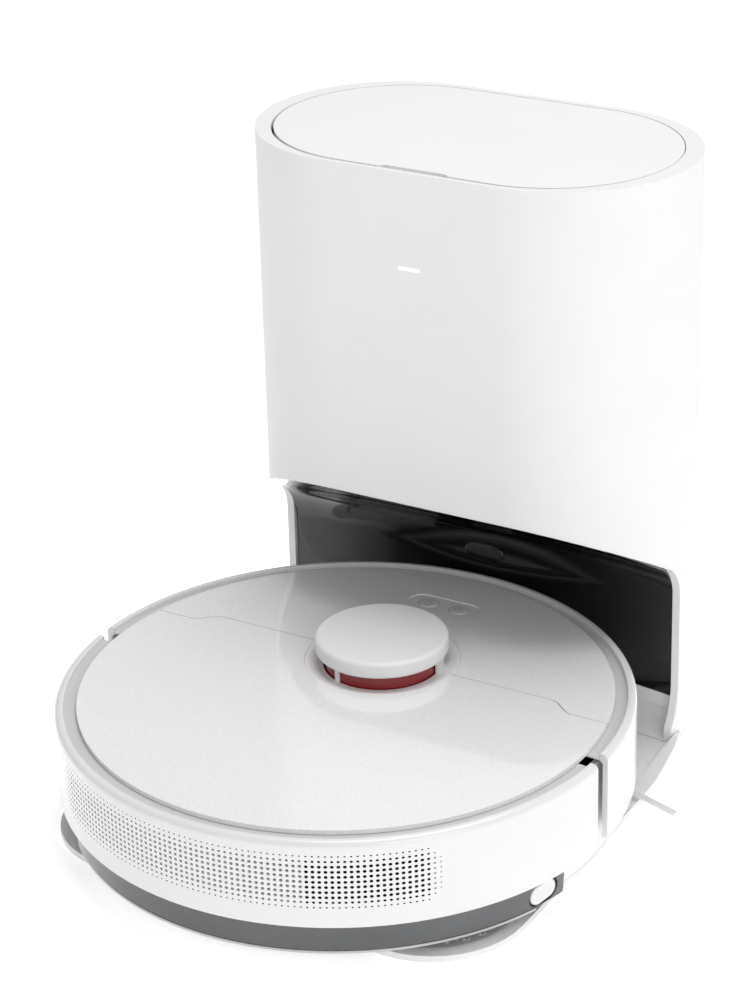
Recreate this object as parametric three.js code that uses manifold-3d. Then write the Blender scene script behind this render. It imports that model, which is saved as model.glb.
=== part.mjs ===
// A robot vacuum cleaner parked nose-in under its self-emptying dock.
// Millimetres, +Z up. The origin is on the floor below the middle of the dock's tower; the dock's
// front faces -Y, and the robot stands in front of it and drives out along -Y.
import * as THREE from "three";
import { mergeVertices } from "three/addons/utils/BufferGeometryUtils.js";
import Module from "manifold-3d";

const wasm = await Module();
wasm.setup();

// ---- Clearances ----
const SEAM = 0.3; // between pieces that touch
const RUN = 0.6; // round a piece that moves

// ---- Dock: driving sizes ----
const TOWER_WIDTH = 288;
const TOWER_DEPTH = 172;
const TOWER_HEIGHT = 385;
const WALL = 5; // tower shell
const SLAB = 4; // tray and tower floor
const RIM_THICKNESS = 6; // the flange round the lid
const RIM_SIDE = 11.5; // rim's width at the two ends
const RIM_BACK = 5.5;
const RIM_FRONT = 3.5;
const LID_THICKNESS = 4.5;
const SCOOP_WIDTH = 48; // for a fingertip, in the lid's front edge
const SCOOP_DEPTH = 5;
const OPENING_TOP = 170; // the recess's mouth, at the tower's front
const OPENING_SHOULDER = 130; // where the sloping cheek turns down
const CHEEK_LENGTH = 66; // from the tower's front back to the shoulder
const MOUTH_EDGE_Y = -5; // upright edge of each cheek
const TOE_REACH = 8; // the cheek's foot, forward of that edge
const TOE_TOP = 13;
const COVE = 12; // the panel's curved foot
const SHOULDER_ROUND = 15;
const LINER_WALL = 3;
const RECESS_WALL_Y = 6; // front face of the recess's back wall
const LINER_FOOT = 31; // where the dark liner ends and the pale panel starts
const CHAMBER_FLOOR_Z = 186;
const CHAMBER_WALL = 2.5;
const TRAY_INSET = 20; // robot's radius past the tray's side
const TRAY_FRONT_REACH = 126; // lobes' front edge ahead of the robot's middle
const LOBE_ROUND = 58;
const LOBE_FRONT = 16; // straight front edge of each lobe
const NOTCH_DEPTH = 46;
const FLARE_BACK_Y = 6; // where the tray starts to widen from the tower
const FLARE_FRONT_Y = -60; // where it reaches its full width
const FLANK_TOP = 9; // low side walls, below the side brush's sweep
const FLANK_LENGTH = 54;
const PAD_INSET = 8; // wheel pad's edge inside its lobe's
const PAD_SINK = 1.5;
const PAD_RISE = 0.7;
const RIB_PITCH = 9;
const RIB_WIDTH = 2;
const RIB_SLANT = 24; // degrees from the robot's line of travel
const DUCT_X = -63; // middle of the dust duct
const DUCT_WIDTH = 42;
const DUCT_WALL = 1;
const DUCT_DEPTH = 22;
const INTAKE_TOP = 10.8; // the flat duct in the tray
const SEAL_TOP = 11.7;
const LED_Z = 325;
const LED_WIDTH = 14;
const LED_HEIGHT = 1.6;
const WINDOW_Z = 99; // signal window in the recess
const WINDOW_HALF = 14;
const INLET_X = 40;
const INLET_Z = 28;
const INLET_WIDTH = 26;
const INLET_HEIGHT = 18;
const PIN_X = 36; // charging pins, left and right
const PIN_RADIUS = 3;
const PIN_FOOT = 3.3;
const DIVIDER_X = 42; // wall between the bag and the fan's bay
const BAG_ROUND = 22;
const BAG_GAP = 2.5; // bag's front corners to the chamber's wall
const DOCK_FAN_Y = 44;
const DOCK_FAN_RADIUS = 30;

// ---- Robot: driving sizes, heights from its own floor ----
const ROBOT_RADIUS = 175;
const ROBOT_LIFT = 5; // the tray raises it
const NOSE_GAP = 3; // bumper to the recess wall
const SKIRT_Z = 25; // lower edge of the bumper and shell
const DECK_TOP = 80;
const DECK_THICKNESS = 2.8;
const DECK_INSET = 13; // deck's edge inside the outer wall
const SKIN = 3.5; // bumper and shell wall
const BUMPER_TRAVEL = 4;
const BUMPER_SLOT = 12; // between the bumper's end and the rear shell
const BELLY_Z = 7; // underside of the chassis
const PLATE = 3;
const SIDE_WALL_INSET = 9; // chassis wall inside the outer wall
const GRILLE_HALF_ANGLE = 44; // degrees either side of the rear
const GRILLE_TURN = 4.5; // its middle's angle from dead astern, towards +X
const GRILLE_LOW = 37;
const GRILLE_HIGH = 73;
const TURRET_Y = 44;
const TURRET_RADIUS = 41;
const TURRET_WELL = 48;
const TURRET_TOP = 97;
const TURRET_FOOT = 87;
const TURRET_TRAVEL = 1.2;
const ROTOR_RADIUS = 30;
const CUP_LOW = 64; // the turret's cup, below the deck
const CUP_FLOOR = 67;
const SEAM_INNER_Y = 44; // dust lid's front edge
const SEAM_OUTER_Y = 33.5;
const SEAM_STEP_X = 119;
const SEAM_STEP_RUN = 12;
const BUTTON_Y = 122;
const BUTTON_X = 11;
const BUTTON_RADIUS = 6.2;
const PAD_WIDTH = 50;
const PAD_HEIGHT = 19;
const WHEEL_RADIUS = 33;
const WHEEL_WIDTH = 22;
const WHEEL_X = 112;
const ARM_LENGTH = 42;
const ARM_WIDTH = 7.5;
const CASTER_Y = 138;
const CASTER_RADIUS = 14;
const CASTER_WELL = 22;
const CASTER_TRAIL = 4;
const BRUSH_Y = 52;
const BRUSH_RADIUS = 19.5;
const BRUSH_HALF = 84;
const SIDE_BRUSH_X = 112;
const SIDE_BRUSH_Y = 96;
const SIDE_BRUSH_REACH = 36; // stiff part of the arms
const SIDE_BRUSH_TURN = -18; // degrees from +X to its first arm
const TANK_FRONT_Y = -52;
const TANK_LOW = 5;
const TANK_ROOF = 26;
const CLIP_ANGLE = 18.5; // degrees behind the robot's side
const CLIP_TRAVEL = 2;
const CLIP_INSET = 5.5; // its face inside the outer wall
const CLIP_DEPTH = 8;
const CLIP_HALF_WIDTH = 10;
const CLIP_HALF_HEIGHT = 5.8;
const BIN_HALF = 80;
const BIN_FRONT_Y = -12;
const BIN_BACK_Y = -125;
const BIN_LOW = 29;
const BIN_HIGH = 70;
const OUTLET_Y = 100; // the dust outlet in the floor
const CONTACT_Y = 125; // charging contacts
const CONTACT_HALF = 8;
const CLIFF_X = 62;
const CLIFF_Y = 134.5;
const FAN_X = 112;
const FAN_Y = -82;
const FAN_RADIUS = 22;

// ---- Places worked out from the sizes above ----
const radians = (degrees) => (degrees * Math.PI) / 180;
const ROBOT_Y = RECESS_WALL_Y - NOSE_GAP - ROBOT_RADIUS;
const FRONT_Y = -TOWER_DEPTH / 2;
const TRAY_HALF = ROBOT_RADIUS - TRAY_INSET;
const NOTCH_HALF = TRAY_HALF - LOBE_ROUND - LOBE_FRONT; // half the gap between the two lobes
const DECK_RADIUS = ROBOT_RADIUS - DECK_INSET;
const WALL_RADIUS = ROBOT_RADIUS - SIDE_WALL_INSET; // chassis side wall, outside
const SKIN_INSIDE = ROBOT_RADIUS - SKIN;
const DECK_UNDER = DECK_TOP - DECK_THICKNESS;
const SHOULDER_Y = FRONT_Y + CHEEK_LENGTH;
const DUCT_BACK_Y = RECESS_WALL_Y + LINER_WALL + SEAM;
const BAG_FRONT = FRONT_Y + WALL + CHAMBER_WALL + 12;
const BAG_LOW = CHAMBER_FLOOR_Z + 15;
const BAG_HIGH = TOWER_HEIGHT - 55;
const DOCK_FAN_X = TOWER_WIDTH / 2 - 74;
const TRAY_FRONT_Y = ROBOT_Y - TRAY_FRONT_REACH;
const CLIP_Z = (TANK_LOW + SKIRT_Z) / 2;
const EAR_X = WHEEL_X + WHEEL_WIDTH / 2 + 8; // the tank reaches forward outside the wheels
const EAR_FRONT_Y = 18.5 - ROBOT_RADIUS * Math.sin(radians(CLIP_ANGLE));

// ---- Finishes ----
const finish = (color, roughness, metalness = 0) =>
  new THREE.MeshStandardMaterial({ color, roughness, metalness });
const WHITE = finish(0xf1f2f2, 0.35);
const SATIN = finish(0xd9dadb, 0.5);
const BLACK = finish(0x0b0b0c, 0.18);
const DARK = finish(0x2a2b2d, 0.6);
const RUBBER = finish(0x8a8c8e, 0.85);
const TYRE = finish(0x1c1c1d, 0.9);
const SMOKE = finish(0x55585b, 0.2);
const WINDOW = finish(0x2c0508, 0.1);
const BOARD = finish(0x1f5a36, 0.6);
const METAL = finish(0xc9b27a, 0.3, 1);
const STEEL = finish(0xb9bbbd, 0.35, 1);
const PAPER = finish(0xe8e4da, 0.95);
const BRISTLE = finish(0xf5f5f3, 0.8);
const LIGHT = finish(0xffffff, 0.4);

// ---- Solids: three.js makes each shape, manifold-3d cuts and joins them ----
function solid(geometry) {
  const bare = geometry.index ? geometry.toNonIndexed() : geometry.clone();
  bare.deleteAttribute("normal");
  bare.deleteAttribute("uv");
  const merged = mergeVertices(bare, 1e-4);
  const corners = [];
  const index = merged.index.array;
  for (let i = 0; i < index.length; i += 3) {
    const [a, b, c] = [index[i], index[i + 1], index[i + 2]];
    if (a !== b && b !== c && a !== c) corners.push(a, b, c);
  }
  const vertProperties = new Float32Array(merged.attributes.position.array);
  const build = (tris) =>
    new wasm.Manifold(new wasm.Mesh({ numProp: 3, vertProperties, triVerts: new Uint32Array(tris) }));
  const body = build(corners);
  if (body.volume() > 0) return body;
  const turned = [];
  for (let i = 0; i < corners.length; i += 3) turned.push(corners[i], corners[i + 2], corners[i + 1]);
  return build(turned);
}

const join = (first, ...others) => others.reduce((sum, next) => sum.add(next), first);
const cut = (first, ...others) => others.reduce((rest, next) => rest.subtract(next), first);
const meet = (first, other) => first.intersect(other);

function mesh(name, body, material) {
  const made = body.getMesh();
  const geometry = new THREE.BufferGeometry();
  const positions = new Float32Array((made.vertProperties.length / made.numProp) * 3);
  for (let i = 0, j = 0; i < made.vertProperties.length; i += made.numProp, j += 3)
    for (let k = 0; k < 3; k++) positions[j + k] = made.vertProperties[i + k];
  geometry.setAttribute("position", new THREE.BufferAttribute(positions, 3));
  geometry.setIndex(new THREE.BufferAttribute(new Uint32Array(made.triVerts), 1));
  const flat = geometry.toNonIndexed();
  flat.computeVertexNormals();
  const result = new THREE.Mesh(flat, material);
  result.name = name;
  return result;
}

// ---- Basic shapes ----
const box = (x0, x1, y0, y1, z0, z1) =>
  solid(
    new THREE.BoxGeometry(x1 - x0, y1 - y0, z1 - z0).translate((x0 + x1) / 2, (y0 + y1) / 2, (z0 + z1) / 2),
  );

// An outline in plan, raised from z0 to z1.
function slab(shape, z0, z1, curveSegments = 12) {
  const options = { depth: z1 - z0, bevelEnabled: false, curveSegments };
  return solid(new THREE.ExtrudeGeometry(shape, options).translate(0, 0, z0));
}

// An outline of [y, z] points seen from the side, drawn out from x0 to x1.
function sideSlab(points, x0, x1) {
  const shape = new THREE.Shape(points.map(([y, z]) => new THREE.Vector2(y, z)));
  const geometry = new THREE.ExtrudeGeometry(shape, { depth: x1 - x0, bevelEnabled: false });
  const turn = new THREE.Matrix4().set(0, 0, 1, x0, 1, 0, 0, 0, 0, 1, 0, 0, 0, 0, 0, 1);
  return solid(geometry.applyMatrix4(turn));
}

// A profile of [radius, z] points turned about the upright axis through (x, y).
function turned(points, x = 0, y = 0, segments = 36) {
  const profile = points.map(([r, z]) => new THREE.Vector2(r, z));
  const geometry = new THREE.LatheGeometry(profile, segments).rotateX(Math.PI / 2);
  return solid(geometry.translate(x, y, 0));
}

const disc = (radius, z0, z1, x = 0, y = 0, segments = 36) =>
  turned([[0, z0], [radius, z0], [radius, z1], [0, z1]], x, y, segments);

const ring = (inner, outer, z0, z1, x = 0, y = 0, segments = 36) =>
  turned([[inner, z0], [outer, z0], [outer, z1], [inner, z1], [inner, z0]], x, y, segments);

// A drum of [radius, x] points turned about a line along X through (y, z).
function rolled(points, y, z, segments = 36) {
  const profile = points.map(([r, x]) => new THREE.Vector2(r, x));
  const geometry = new THREE.LatheGeometry(profile, segments).rotateZ(-Math.PI / 2);
  return solid(geometry.translate(0, y, z));
}

// A stadium outline: two half circles joined by straight sides, its middle at (0, y).
function stadium(width, depth, y = 0) {
  const radius = depth / 2;
  const half = width / 2 - radius;
  const shape = new THREE.Shape();
  shape.absarc(half, y, radius, -Math.PI / 2, Math.PI / 2, false);
  shape.absarc(-half, y, radius, Math.PI / 2, (3 * Math.PI) / 2, false);
  shape.closePath();
  return shape;
}

const towerOutline = (inset) => stadium(TOWER_WIDTH - 2 * inset, TOWER_DEPTH - 2 * inset);
const TOWER_ARC = 16; // facets on each half circle

// A wedge of the plan between two angles in degrees, from its point at the middle.
function wedge(from, to, reach, z0, z1) {
  const steps = 8;
  const points = [new THREE.Vector2(0, 0)];
  for (let i = 0; i <= steps; i++) {
    const angle = radians(from + ((to - from) * i) / steps);
    points.push(new THREE.Vector2(reach * Math.cos(angle), reach * Math.sin(angle)));
  }
  return slab(new THREE.Shape(points), z0, z1);
}

// =====================================================================================
// Dock
// =====================================================================================

// The tray's plan: it flares out from the tower and ends in two round lobes.
function trayOutline() {
  const front = TRAY_FRONT_Y;
  const side = TRAY_HALF - LOBE_ROUND;
  const notch = front + NOTCH_DEPTH;
  const [bend, inner] = [NOTCH_HALF - 22, NOTCH_HALF - 34];
  const edge = TOWER_WIDTH / 2;
  const shape = new THREE.Shape();
  shape.moveTo(edge - 3, FLARE_BACK_Y);
  shape.quadraticCurveTo(edge + 4, FLARE_FRONT_Y + 50, TRAY_HALF, FLARE_FRONT_Y);
  shape.lineTo(TRAY_HALF, front + LOBE_ROUND);
  shape.absarc(side, front + LOBE_ROUND, LOBE_ROUND, 0, -Math.PI / 2, true);
  shape.lineTo(NOTCH_HALF, front);
  shape.quadraticCurveTo(bend, front + 6, inner, notch);
  shape.lineTo(-inner, notch);
  shape.quadraticCurveTo(-bend, front + 6, -NOTCH_HALF, front);
  shape.lineTo(-side, front);
  shape.absarc(-side, front + LOBE_ROUND, LOBE_ROUND, -Math.PI / 2, -Math.PI, true);
  shape.lineTo(-TRAY_HALF, FLARE_FRONT_Y);
  shape.quadraticCurveTo(-edge - 4, FLARE_FRONT_Y + 50, 3 - edge, FLARE_BACK_Y);
  return shape;
}

// One wheel pad's plan: it follows its lobe's round corner.
function padOutline(side, inset) {
  const front = TRAY_FRONT_Y + inset;
  const outer = TRAY_HALF - inset;
  const round = LOBE_ROUND - inset;
  const inner = NOTCH_HALF + inset;
  const back = ROBOT_Y - WHEEL_RADIUS + 3 - inset;
  const shape = new THREE.Shape();
  shape.moveTo(side * inner, front);
  shape.lineTo(side * (outer - round), front);
  const steps = 10;
  for (let i = 1; i <= steps; i++) {
    const angle = radians(-90 + (90 * i) / steps);
    const x = outer - round + round * Math.cos(angle);
    shape.lineTo(side * x, front + round + round * Math.sin(angle));
  }
  shape.lineTo(side * outer, back);
  shape.lineTo(side * inner, back);
  shape.closePath();
  return shape;
}

// Low side walls of the tray: each climbs towards the tower's toe and falls away behind it.
function flanks() {
  const toe = MOUTH_EDGE_Y - TOE_REACH;
  const profile = [
    [toe - FLANK_LENGTH, SLAB - 1],
    [toe - 2, FLANK_TOP],
    [toe + 8, FLANK_TOP],
    [FLARE_BACK_Y + 4, SLAB - 1],
  ];
  const above = FLANK_TOP + 5;
  const walls = meet(sideSlab(profile, -TRAY_HALF, TRAY_HALF), slab(trayOutline(), 0, above));
  const tower = slab(towerOutline(-SEAM), 0, above + 1, TOWER_ARC);
  const half = Math.min(TOWER_WIDTH / 2, TRAY_HALF - 4);
  const front = toe - FLANK_LENGTH - 1;
  return cut(walls, tower, box(-half, half, front, FLARE_BACK_Y + 20, SLAB, above + 1));
}

function dockBase() {
  const tower = slab(towerOutline(0), 0, SLAB, TOWER_ARC);
  const floor = join(slab(trayOutline(), 0, SLAB), tower, flanks());
  const pinHoles = [-1, 1].map((side) =>
    disc(PIN_RADIUS + RUN, 1, SLAB + 1, side * PIN_X, ROBOT_Y + CONTACT_Y, 20));
  const padSeats = [-1, 1].map((side) => slab(padOutline(side, PAD_INSET), SLAB - PAD_SINK, SLAB + 1));
  return mesh("dock_base", cut(floor, ...pinHoles, ...padSeats), WHITE);
}

// A rubber mat with slanting ribs.
function wheelPad(side, name) {
  const top = SLAB + PAD_RISE;
  const plate = slab(padOutline(side, PAD_INSET + SEAM), SLAB - PAD_SINK + SEAM, top - 0.5);
  const ribs = [];
  for (let i = 0; i < 9; i++) {
    const rib = new THREE.BoxGeometry(RIB_WIDTH, 2 * LOBE_ROUND, 1)
      .rotateZ(radians(side * RIB_SLANT))
      .translate(side * (NOTCH_HALF + i * RIB_PITCH), TRAY_FRONT_Y + LOBE_ROUND, top - 0.5);
    ribs.push(solid(rib));
  }
  const bars = meet(join(...ribs), slab(padOutline(side, PAD_INSET + 4), 0, top + 1));
  return mesh(name, join(plate, bars), RUBBER);
}

// The recess's mouth seen from the side, as [y, z] points.
function mouthProfile(back, raise) {
  const points = [[FRONT_Y - 10, OPENING_TOP + 6 + raise], [FRONT_Y, OPENING_TOP + raise]];
  const steps = 6;
  const start = [SHOULDER_Y, OPENING_SHOULDER + raise];
  const corner = [MOUTH_EDGE_Y + back - 3, OPENING_SHOULDER + raise - 6];
  const end = [MOUTH_EDGE_Y + back, OPENING_SHOULDER - SHOULDER_ROUND - 3 + raise];
  for (let i = 0; i <= steps; i++) {
    const t = i / steps;
    const blend = (k) => (1 - t) ** 2 * start[k] + 2 * t * (1 - t) * corner[k] + t ** 2 * end[k];
    points.push([blend(0), blend(1)]);
  }
  return points;
}

function towerShell() {
  const outer = slab(towerOutline(0), SLAB + SEAM, TOWER_HEIGHT, TOWER_ARC);
  const inside = slab(towerOutline(WALL), 0, TOWER_HEIGHT - RIM_THICKNESS, TOWER_ARC);
  const lidHole = slab(lidHoleOutline(), TOWER_HEIGHT - RIM_THICKNESS - 1, TOWER_HEIGHT + 1, TOWER_ARC);
  const toe = [
    [MOUTH_EDGE_Y, TOE_TOP + 2 * TOE_REACH],
    [MOUTH_EDGE_Y - TOE_REACH / 4, TOE_TOP + TOE_REACH * 0.8],
    [MOUTH_EDGE_Y - TOE_REACH, TOE_TOP],
    [MOUTH_EDGE_Y - TOE_REACH, 0],
  ];
  const mouth = sideSlab([...mouthProfile(0, 0), ...toe, [FRONT_Y - 10, 0]], -TOWER_WIDTH, TOWER_WIDTH);
  const half = LED_WIDTH / 2;
  const rise = LED_HEIGHT / 2;
  const light = box(-half, half, FRONT_Y - 1, FRONT_Y + WALL + 1, LED_Z - rise, LED_Z + rise);
  const socket = inletBlock(0, -FRONT_Y - WALL - 1, 1 - FRONT_Y);
  return mesh("tower_shell", cut(outer, inside, lidHole, mouth, light, socket), WHITE);
}

const inletBlock = (inset, front, back) => {
  const [half, rise] = [INLET_WIDTH / 2 - inset, INLET_HEIGHT / 2 - inset];
  return box(INLET_X - half, INLET_X + half, front, back, INLET_Z - rise, INLET_Z + rise);
};

// The hole in the tower's top.
function lidHoleOutline() {
  const depth = TOWER_DEPTH - RIM_FRONT - RIM_BACK;
  return stadium(TOWER_WIDTH - 2 * RIM_SIDE, depth, (RIM_FRONT - RIM_BACK) / 2);
}

// The hole's own outline, drawn in by the running gap, with a scoop in front for a fingertip.
function lidPlate(z0, z1) {
  const depth = TOWER_DEPTH - RIM_FRONT - RIM_BACK - 2 * RUN;
  const width = TOWER_WIDTH - 2 * RIM_SIDE - 2 * RUN;
  const whole = slab(stadium(width, depth, (RIM_FRONT - RIM_BACK) / 2), z0, z1, TOWER_ARC);
  const scoop = slab(stadium(SCOOP_WIDTH, 2 * SCOOP_DEPTH, FRONT_Y + RIM_FRONT + RUN), z0 - 1, z1 + 1, 8);
  return cut(whole, scoop);
}

function dockLid() {
  const plate = lidPlate(TOWER_HEIGHT - LID_THICKNESS, TOWER_HEIGHT);
  const hingeY = -FRONT_Y - RIM_BACK - RUN;
  const lugs = [-1, 1].map((side) => {
    const x = side * (TOWER_WIDTH / 2 - TOWER_DEPTH / 2 - 14);
    return box(x - 7, x + 7, hingeY - 12, hingeY - 4, TOWER_HEIGHT - LID_THICKNESS - 4.5, TOWER_HEIGHT - 2);
  });
  return mesh("dock_lid", join(plate, ...lugs), WHITE);
}

// The dark liner: an upright back wall that curves forward into a sloping roof.
function recessLiner() {
  const inner = mouthProfile(RECESS_WALL_Y - MOUTH_EDGE_Y, 3).slice(1);
  const outer = mouthProfile(RECESS_WALL_Y - MOUTH_EDGE_Y + LINER_WALL, 3 + LINER_WALL).slice(1).reverse();
  const foot = LINER_FOOT + SEAM;
  const band = sideSlab(
    [...inner, [RECESS_WALL_Y, foot], [RECESS_WALL_Y + LINER_WALL, foot], ...outer],
    -TOWER_WIDTH / 2, TOWER_WIDTH / 2);
  const fitted = meet(band, slab(towerOutline(WALL + SEAM), 0, TOWER_HEIGHT, TOWER_ARC));
  return mesh("recess_liner", cut(fitted, irWindowBlock(SEAM)), BLACK);
}

function irWindowBlock(gap) {
  const shape = new THREE.Shape();
  shape.absellipse(0, 0, WINDOW_HALF + gap, WINDOW_HALF / 2 + gap, 0, Math.PI * 2, false);
  const depth = gap ? 12 : LINER_WALL + 0.8;
  const geometry = new THREE.ExtrudeGeometry(shape, { depth, bevelEnabled: false, curveSegments: 8 });
  const front = gap ? RECESS_WALL_Y - 4 : RECESS_WALL_Y - 0.8;
  return solid(geometry.rotateX(Math.PI / 2).translate(0, front + depth, WINDOW_Z));
}

const irWindow = () => mesh("ir_window", irWindowBlock(0), WINDOW);

// The pale panel under the liner; its foot curves out over the tray.
function lowerPanel() {
  const half = TOWER_WIDTH / 2 - WALL - SEAM;
  const [face, foot] = [RECESS_WALL_Y, SLAB + SEAM];
  const back = face + LINER_WALL;
  const cove = [[0, 1], [0.08, 0.6], [0.29, 0.29], [0.6, 0.08], [1, 0]].map(([out, up]) => [
    face - COVE * out, foot + COVE * up]);
  const panel = sideSlab([[face, LINER_FOOT], ...cove, [back, foot], [back, LINER_FOOT]], -half, half);
  const shape = slab(towerOutline(WALL + SEAM), 0, TOWER_HEIGHT, TOWER_ARC);
  const reach = DUCT_WIDTH / 2 + SEAM;
  const pass = box(DUCT_X - reach, DUCT_X + reach, face - COVE - 1, back + 1, 0, INTAKE_TOP + SEAM);
  return mesh("lower_panel", cut(meet(panel, shape), pass), WHITE);
}

const ledBar = () => {
  const half = LED_WIDTH / 2 - SEAM;
  const rise = LED_HEIGHT / 2 - SEAM;
  return mesh("status_light", box(-half, half, FRONT_Y, FRONT_Y + WALL, LED_Z - rise, LED_Z + rise), LIGHT);
};

// The flat duct in the tray, open below the robot's outlet and at its back end.
function intakeDuct() {
  const [left, right] = [DUCT_X - DUCT_WIDTH / 2, DUCT_X + DUCT_WIDTH / 2];
  const front = ROBOT_Y + OUTLET_Y - 23;
  const low = SLAB + SEAM;
  const outer = box(left, right, front, DUCT_BACK_Y - SEAM, low, INTAKE_TOP);
  const hollow = box(left + DUCT_WALL, right - DUCT_WALL, front + DUCT_WALL, DUCT_BACK_Y + 5,
    low + DUCT_WALL, INTAKE_TOP - DUCT_WALL);
  const middle = ROBOT_Y + OUTLET_Y;
  const mouth = box(left + 4, right - 4, middle - 8, middle + 8, low + 2, INTAKE_TOP + 1);
  return mesh("intake_duct", cut(outer, hollow, mouth), DARK);
}

function intakeSeal() {
  const middle = ROBOT_Y + OUTLET_Y;
  const [low, high] = [INTAKE_TOP + SEAM, SEAL_TOP];
  const half = DUCT_WIDTH / 2 - 1;
  const outer = box(DUCT_X - half, DUCT_X + half, middle - 11, middle + 11, low, high);
  const hole = box(DUCT_X - half + 3, DUCT_X + half - 3, middle - 8, middle + 8, low - 1, high + 1);
  return mesh("intake_seal", cut(outer, hole), TYRE);
}

// The upright duct behind the recess, open at its foot's front and at its top.
function dustDuct() {
  const [left, right] = [DUCT_X - DUCT_WIDTH / 2, DUCT_X + DUCT_WIDTH / 2];
  const back = DUCT_BACK_Y + DUCT_DEPTH;
  const low = SLAB + SEAM;
  const outer = box(left, right, DUCT_BACK_Y, back, low, CHAMBER_FLOOR_Z + 5);
  const hollow = box(left + DUCT_WALL, right - DUCT_WALL, DUCT_BACK_Y + DUCT_WALL, back - DUCT_WALL,
    low + DUCT_WALL, CHAMBER_FLOOR_Z + 9);
  const foot = box(left + DUCT_WALL, right - DUCT_WALL, DUCT_BACK_Y - 1, DUCT_BACK_Y + 5,
    low + DUCT_WALL, INTAKE_TOP - DUCT_WALL);
  return mesh("dust_duct", cut(outer, hollow, foot), DARK);
}

// The tub that holds the bag, with a second bay over the fan.
function bagChamber() {
  const top = TOWER_HEIGHT - RIM_THICKNESS - SEAM;
  const outer = slab(towerOutline(WALL + SEAM), CHAMBER_FLOOR_Z, top, TOWER_ARC);
  const inside = slab(towerOutline(WALL + SEAM + CHAMBER_WALL), CHAMBER_FLOOR_Z + 3, top + 1, TOWER_ARC);
  const divider = meet(
    box(DIVIDER_X, DIVIDER_X + CHAMBER_WALL, FRONT_Y, -FRONT_Y, CHAMBER_FLOOR_Z, top - 40),
    slab(towerOutline(WALL + SEAM + 1), CHAMBER_FLOOR_Z, top, TOWER_ARC));
  const reach = DUCT_WIDTH / 2 + SEAM;
  const ductBack = DUCT_BACK_Y + DUCT_DEPTH + SEAM;
  const ductHole = box(DUCT_X - reach, DUCT_X + reach, DUCT_BACK_Y - SEAM, ductBack,
    CHAMBER_FLOOR_Z - 1, CHAMBER_FLOOR_Z + 4);
  const suction = disc(18, CHAMBER_FLOOR_Z - 1, CHAMBER_FLOOR_Z + 4, DOCK_FAN_X, DOCK_FAN_Y, 24);
  return mesh("bag_chamber", cut(join(cut(outer, inside), divider), ductHole, suction), SATIN);
}

function dustBag() {
  const radius = BAG_ROUND;
  const [right, back] = [DIVIDER_X - 8, -BAG_FRONT];
  const reach = TOWER_DEPTH / 2 - WALL - SEAM - CHAMBER_WALL - BAG_GAP - radius;
  const left = (TOWER_DEPTH - TOWER_WIDTH) / 2 - Math.sqrt(reach ** 2 - (back - radius) ** 2) - radius;
  const shape = new THREE.Shape();
  shape.absarc(right - radius, back - radius, radius, 0, Math.PI / 2, false);
  shape.absarc(left + radius, back - radius, radius, Math.PI / 2, Math.PI, false);
  shape.absarc(left + radius, BAG_FRONT + radius, radius, Math.PI, 1.5 * Math.PI, false);
  shape.absarc(right - radius, BAG_FRONT + radius, radius, 1.5 * Math.PI, 2 * Math.PI, false);
  return mesh("dust_bag", slab(shape, BAG_LOW, BAG_HIGH, 5), PAPER);
}

function bagCollar() {
  const y = DUCT_BACK_Y + DUCT_DEPTH / 2;
  const plate = box(DUCT_X - 34, DUCT_X + 34, y - 28, y + 24, BAG_LOW - 5 - SEAM, BAG_LOW - SEAM);
  const half = DUCT_WIDTH / 2 - 3;
  const hole = box(DUCT_X - half, DUCT_X + half, y - 9, y + 9, 0, BAG_LOW + 5);
  return mesh("bag_collar", cut(plate, hole), DARK);
}

function dockFanHousing() {
  const [low, high] = [58, CHAMBER_FLOOR_Z - 2];
  const fanFloor = high - 56;
  const cup = turned([
    [0, low], [20, low], [20, fanFloor - 6], [DOCK_FAN_RADIUS, fanFloor - 6], [DOCK_FAN_RADIUS, high],
    [DOCK_FAN_RADIUS - 2.5, high], [DOCK_FAN_RADIUS - 2.5, fanFloor - 3], [0, fanFloor - 3],
  ], DOCK_FAN_X, DOCK_FAN_Y, 32);
  const outlet = box(DOCK_FAN_X - 8, DOCK_FAN_X + 8, DOCK_FAN_Y - DOCK_FAN_RADIUS - 10, DOCK_FAN_Y,
    fanFloor + 4, fanFloor + 30);
  return mesh("dock_fan_housing", cut(cup, outlet), DARK);
}

// An impeller: a hub disc with upright blades.
function impeller(x, y, z, radius, height) {
  const core = 6;
  const hub = turned(
    [[0, z], [radius, z], [radius, z + 2], [core, z + 4], [core, z + height], [0, z + height]], x, y, 24);
  const blades = [];
  const count = 7;
  for (let i = 0; i < count; i++) {
    const angle = (i * 2 * Math.PI) / count;
    const blade = new THREE.BoxGeometry(radius - core, 1.6, height - 3)
      .translate(core - 1 + (radius - core) / 2, 0, z + 1.5 + (height - 3) / 2)
      .rotateZ(angle)
      .translate(x, y, 0);
    blades.push(solid(blade));
  }
  return join(hub, ...blades);
}

const dockImpeller = () => {
  const body = impeller(DOCK_FAN_X, DOCK_FAN_Y, CHAMBER_FLOOR_Z - 50, DOCK_FAN_RADIUS - 5, 24);
  return mesh("dock_impeller", body, STEEL);
};

const controlBoard = () => {
  const back = -FRONT_Y - WALL - 4;
  return mesh("control_board", box(-45, 15, back - 1.6, back, 60, 130), BOARD);
};

function powerInlet() {
  const back = -FRONT_Y;
  const body = inletBlock(SEAM, back - 20, back - 0.5);
  const socket = inletBlock(4 + SEAM, back - 15, back + 1);
  const prongs = [-4, 4].map((dx) => {
    const x = INLET_X + dx;
    return box(x - 1, x + 1, back - 16, back - 4, INLET_Z - 1, INLET_Z + 1);
  });
  return mesh("power_inlet", join(cut(body, socket), ...prongs), DARK);
}

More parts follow.
